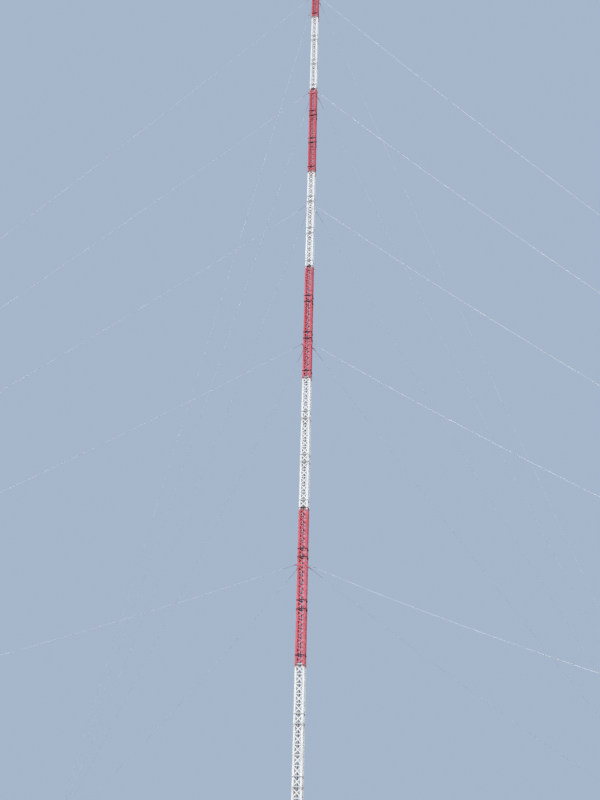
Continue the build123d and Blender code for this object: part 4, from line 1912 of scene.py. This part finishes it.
@dataclass
class Instruments(Assembly):
    """The cup anemometers, the wind vane and the air sensor in its screen.

    Attributes:
        post: profile of a post's foot, from the boom.
        housing: profile of the housing on a post, from the post's top.
    """

    housing_radius: float = 0.016
    post_height: float = 0.190
    housing_height: float = 0.060
    post: Profile = ((0.0, 0.0), (0.0155, 0.0), (0.0155, 0.006), (0.0100, 0.009), (0.0090, 0.012))
    housing: Profile = (
        (0.0090, -0.006), (0.0120, -0.003), (0.016, 0.004), (0.016, 0.016), (0.0145, 0.0175),
        (0.0145, 0.046), (0.016, 0.048), (0.016, 0.053), (0.0125, 0.0575), (0.0060, 0.060), (0.0, 0.060),
    )
    cup_hub: Profile = (
        (0.0, 0.0), (0.005, 0.0), (0.005, 0.002), (0.009, 0.004),
        (0.009, 0.011), (0.006, 0.015), (0.0, 0.016),
    )
    cup: Profile = (
        (0.0, 0.0262), (0.0030, 0.0255), (0.0052, 0.0232), (0.0142, 0.0022), (0.0156, 0.0012),
        (0.0156, -0.0006), (0.0142, -0.0010), (0.0130, 0.0014), (0.0044, 0.0212), (0.0, 0.0232),
    )
    cup_out: float = 0.0595
    cup_count: int = 3
    cup_depth: float = 0.010
    arm_start: float = 0.006
    arm_rise: float = 0.008
    arm_radius: float = 0.0022
    vane_hub: Profile = (
        (0.0, -0.004), (0.007, -0.004), (0.009, -0.001), (0.009, 0.005), (0.005, 0.010), (0.0, 0.011),
    )
    vane_rise: float = 0.004
    vane_nose: Profile = (
        (0.0, 0.0), (0.0045, 0.0015), (0.0085, 0.0070), (0.0106, 0.0150),
        (0.0100, 0.0250), (0.0070, 0.0320), (0.0030, 0.0340), (0.0, 0.0340),
    )
    nose_tip: float = -0.090
    vane_rod: tuple[float, float, float] = (0.0035, -0.060, 0.200)
    tail: Profile = ((0.150, -0.004), (0.120, 0.004), (0.150, 0.090), (0.230, 0.090), (0.230, -0.004))
    tail_half: float = 0.0011
    tail_corner: float = 0.010
    screen_radius: float = 0.038
    louvre: Profile = (
        (0.020, 0.0), (0.030, -0.0006), (0.0355, -0.0030), (0.0376, -0.0075), (0.0366, -0.0080),
        (0.0345, -0.0042), (0.0295, -0.0021), (0.020, -0.0016), (0.020, 0.0),
    )
    louvre_count: int = 5
    louvre_pitch: float = 0.014
    cap: Profile = (
        (0.0, 0.0), (0.026, -0.0004), (0.034, -0.0024), (0.0376, -0.0075),
        (0.0366, -0.0080), (0.033, -0.0044), (0.026, -0.0022), (0.0, -0.0018),
    )
    louvre_gap: float = 0.003
    rod_circle: float = 0.0275
    rod_turn: float = 30.0
    rod: tuple[float, float] = (0.0018, 0.069)
    sensor: tuple[float, float, float] = (0.012, 0.062, 0.003)
    sensor_rise: float = 0.006
    floor_plate: tuple[float, float, float] = (0.030, 0.003, 0.0008)
    screen_depth: float = 0.070
    arm_tube: float = 0.0062
    neck: Profile = ((0.0, -0.009), (0.011, -0.009), (0.011, 0.003), (0.008, 0.0065), (0.0, 0.0068))
    sensor_clamp: tuple[float, float, float] = (0.010, 0.034, 0.040)
    clamp_edge: float = 0.0015

    def build(self) -> None:
        """Makes every instrument."""
        profile = self.post + tuple((radius, self.post_height + rise) for radius, rise in self.housing)
        for name, boom, end, node, add_head in (
            ("anemometer_left", "anemometer_boom", -1, "anemometers", self.add_cups),
            ("anemometer_right", "anemometer_boom", 1, "anemometers", self.add_cups),
            ("vane", "vane_boom", 1, "wind_vane", self.add_vane),
        ):
            low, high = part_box(boom)
            x = high.x - self.housing_radius if end > 0 else low.x + self.housing_radius
            foot = shift(x, middle_of(boom).y, high.z)
            bm = bmesh.new()
            add_turned(bm, profile, foot, 28)
            add_head(bm, foot @ shift(0, 0, self.post_height + self.housing_height))
            self.shop.piece(name, bm, Slot.INSTRUMENT, (node,))
        self.shop.piece("sensor_screen", self.screen(), Slot.SCREEN, ("air_sensor",))
        self.shop.piece("sensor_arm", self.sensor_arm(), Slot.SCREEN, ("air_sensor",))

    def add_cups(self, bm: BMesh, hub: Matrix) -> None:
        """Adds the hub of a cup anemometer, with its arms and cups.

        Args:
            bm: the mesh.
            hub: place of the hub's foot.
        """
        add_turned(bm, self.cup_hub, hub, 20)
        length = self.cup_out - self.arm_start - self.cup_depth
        for around in turns(self.cup_count):
            level = hub @ around @ shift(0, 0, self.arm_rise)
            add_rod(bm, self.arm_radius, length, level @ shift(self.arm_start, 0, 0) @ TO_X, 8)
            add_turned(bm, self.cup, level @ shift(self.cup_out, 0, 0) @ TO_Y, 18)

    def add_vane(self, bm: BMesh, hub: Matrix) -> None:
        """Adds the hub of a wind vane, with its rod, nose weight and tail.

        Args:
            bm: the mesh.
            hub: place of the hub's foot.
        """
        radius, start, length = self.vane_rod
        level = hub @ shift(0, 0, self.vane_rise)
        add_turned(bm, self.vane_hub, level, 20)
        add_rod(bm, radius, length, level @ shift(0, start, 0) @ TO_Y, 10)
        add_turned(bm, self.vane_nose, level @ shift(0, self.nose_tip, 0) @ TO_Y, 20)
        others = set(bm.faces)
        corners = [bm.verts.new((-self.tail_half, y, z)) for y, z in self.tail]
        bm.faces.new(corners)
        bmesh.ops.bevel(
            bm, geom=corners[2:4], affect="VERTICES", offset=self.tail_corner,
            segments=4, profile=0.5, material=-1,
        )
        plate = [face for face in bm.faces if face not in others]
        grown = bmesh.ops.extrude_face_region(bm, geom=plate)["geom"]
        bmesh.ops.translate(bm, vec=(2 * self.tail_half, 0, 0), verts=verts_of(grown))
        bmesh.ops.transform(bm, matrix=level, verts=gather(set(plate[0].verts)))

    def screen(self) -> BMesh:
        """The louvred screen: dished plates on three rods, with a cap and the sensor inside.

        Returns:
            The mesh.
        """
        low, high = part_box("air_sensor")
        middle = shift(low.x + self.screen_radius, middle_of("air_sensor").y, high.z - self.louvre_pitch)
        floor = middle @ shift(0, 0, -self.screen_depth)
        bm = bmesh.new()
        for plate in range(1, self.louvre_count + 1):
            height = self.louvre_gap - plate * self.louvre_pitch
            add_turned(bm, self.louvre, middle @ shift(0, 0, height), 32)
        add_turned(bm, self.cap, middle, 32)
        for around in turns(3, self.rod_turn):
            spot = around @ Vector((self.rod_circle, 0, 0))
            add_rod(bm, *self.rod, floor @ Matrix.Translation(spot), 8)
        for (radius, depth, edge), foot, sides in (
            (self.sensor, self.sensor_rise, 20),
            (self.floor_plate, -self.floor_plate[1], 24),
        ):
            add_rod(bm, radius, depth, floor @ shift(0, 0, foot), sides, edge)
        return bm

    def sensor_arm(self) -> BMesh:
        """The arm from the leg to the screen, with its clamp.

        Returns:
            The mesh.
        """
        low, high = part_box("air_sensor")
        face = -self.sizes.half_face
        width = self.sensor_clamp[0]
        screen = low.x + self.screen_radius
        level = shift(0, middle_of("air_sensor").y, high.z - self.louvre_pitch / 2)
        bm = bmesh.new()
        add_rod(bm, self.arm_tube, face - screen, level @ shift(screen, 0, 0) @ TO_X, 14)
        clamp = level @ shift(face - width / 2, 0, -self.louvre_pitch)
        add_block(bm, self.sensor_clamp, clamp, self.clamp_edge)
        add_turned(bm, self.neck, level @ shift(screen, 0, 0), 20)
        return bm


@dataclass
class Studio:
    """Floor, backdrop, lamps and the camera at the photograph's angle.

    Attributes:
        backdrop: colour behind the mast and of the floor.
        azimuth: direction that the camera looks, turned from +Y to the left, in degrees.
        distance: how far the camera stands from the mast.
        beside: how far the mast stands to the right of the camera's middle.
        eye: height of the camera.
        pitch: how far up it looks, in degrees.
        roll: how far it is tilted, in degrees.
        focal_pixels: focal length in pixels of the picture.
        picture_height: height of the picture in pixels.
        floor_share: how much darker the floor is, so that it shows as the backdrop when it is lit.
        floor_fade: distances between which the floor passes into the backdrop.
        lamps: name, strength, breadth in degrees and direction of each lamp.
    """

    backdrop: Colour = (0.38, 0.47, 0.60)
    azimuth: float = 11.5
    distance: float = 22.288
    beside: float = 0.2109
    eye: float = 1.099
    pitch: float = 27.979
    roll: float = 1.5635
    focal_pixels: float = 781.9
    picture_height: float = 800.0
    sensor: float = 36.0
    far: float = 1000.0
    floor_radius: float = 260.0
    floor_sides: int = 96
    floor_drop: float = 0.0005
    floor_roughness: float = 0.95
    floor_share: float = 0.72
    floor_fade: Step = Step(26.0, 60.0)
    sky_strength: float = 0.62
    lamps: tuple[tuple[str, float, float, tuple[float, float, float]], ...] = (
        ("key", 2.5, 9.0, (0.62, 0.47, -0.63)),
        ("fill", 1.2, 40.0, (-0.78, 0.52, -0.30)),
    )

    def build(self) -> None:
        """Sets the whole stage."""
        bpy.context.scene.view_settings.view_transform = "Standard"
        self.floor()
        self.world()
        for name, strength, spread, towards in self.lamps:
            self.lamp(name, strength, spread, Vector(towards))
        self.camera()

    def floor(self) -> None:
        """A wide pale floor that runs into the backdrop."""
        bm = bmesh.new()
        bmesh.ops.create_circle(bm, cap_ends=True, segments=self.floor_sides, radius=self.floor_radius)
        mesh = bpy.data.meshes.new("floor")
        bm.to_mesh(mesh)
        bm.free()
        floor = bpy.data.objects.new("floor", mesh)
        floor.location.z = -self.floor_drop
        bpy.context.scene.collection.objects.link(floor)
        sheet = material_sheet("floor")
        shade = tuple(self.floor_share * part for part in self.backdrop)
        sheet.feed(sheet.shader, {"Base Color": shade, "Roughness": self.floor_roughness})
        glow = sheet.add("Emission", {"Color": self.backdrop})
        away = sheet.add("VectorMath", {0: sheet.position}, operation="LENGTH").outputs["Value"]
        lights = {1: sheet.shader.outputs["BSDF"], 2: glow.outputs["Emission"]}
        mix = sheet.add("MixShader", {"Fac": sheet.ramp(away, self.floor_fade)} | lights)
        sheet.feed(sheet.tree.nodes["Material Output"], {"Surface": mix.outputs["Shader"]})
        mesh.materials.append(sheet.owner)

    def world(self) -> None:
        """A plain sky: even light, and the backdrop's colour where it is seen or mirrored."""
        sheet = NodeSheet(bpy.data.worlds.new("studio"))
        bpy.context.scene.world = sheet.owner
        light = sheet.tree.nodes["Background"]
        sheet.feed(light, {"Color": (1.0, 1.0, 1.0), "Strength": self.sky_strength})
        seen = sheet.add("Background", {"Color": self.backdrop})
        path = sheet.add("LightPath").outputs
        either = sheet.calc("MAXIMUM", path["Is Camera Ray"], path["Is Glossy Ray"])
        lights = {1: light.outputs["Background"], 2: seen.outputs["Background"]}
        mix = sheet.add("MixShader", {"Fac": either} | lights)
        sheet.feed(sheet.tree.nodes["World Output"], {"Surface": mix.outputs["Shader"]})

    def lamp(self, name: str, strength: float, spread: float, towards: Vector) -> None:
        """Adds a lamp at a great distance.

        Args:
            name: its name.
            strength: its strength.
            spread: how broad it looks, in degrees.
            towards: the direction that it shines in.
        """
        light = bpy.data.lights.new(name, "SUN")
        light.energy = strength
        light.angle = math.radians(spread)
        lamp = bpy.data.objects.new(name, light)
        lamp.rotation_mode = "QUATERNION"
        lamp.rotation_quaternion = towards.to_track_quat("-Z", "Y")
        bpy.context.scene.collection.objects.link(lamp)

    def camera(self) -> None:
        """The camera at the photograph's place and angle."""
        data = bpy.data.cameras.new("camera")
        data.sensor_width = self.sensor
        data.lens = self.focal_pixels / self.picture_height * self.sensor
        data.clip_end = self.far
        camera = bpy.data.objects.new("camera", data)
        place = turn(self.azimuth) @ shift(-self.beside, -self.distance, self.eye)
        camera.matrix_world = place @ turn(90.0 + self.pitch, "X") @ turn(self.roll)
        bpy.context.scene.collection.objects.link(camera)
        bpy.context.scene.camera = camera


def main() -> None:
    """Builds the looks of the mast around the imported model."""
    logging.basicConfig(level=logging.INFO, format="%(name)s %(message)s")
    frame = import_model()
    sizes = MastSizes.read()
    shop = Workshop(sizes, frame["record"])
    shop.dress_frame(frame["nodes"])
    trims = (LatticeTrim, Guys, CableRun, FootTrim, GuyFrameTrim, AnchorTrim, HeadTrim, BoomTrim, Instruments)
    for trim in trims:
        trim(sizes, shop).build()
    Studio().build()


if __name__ == "__main__":
    main()
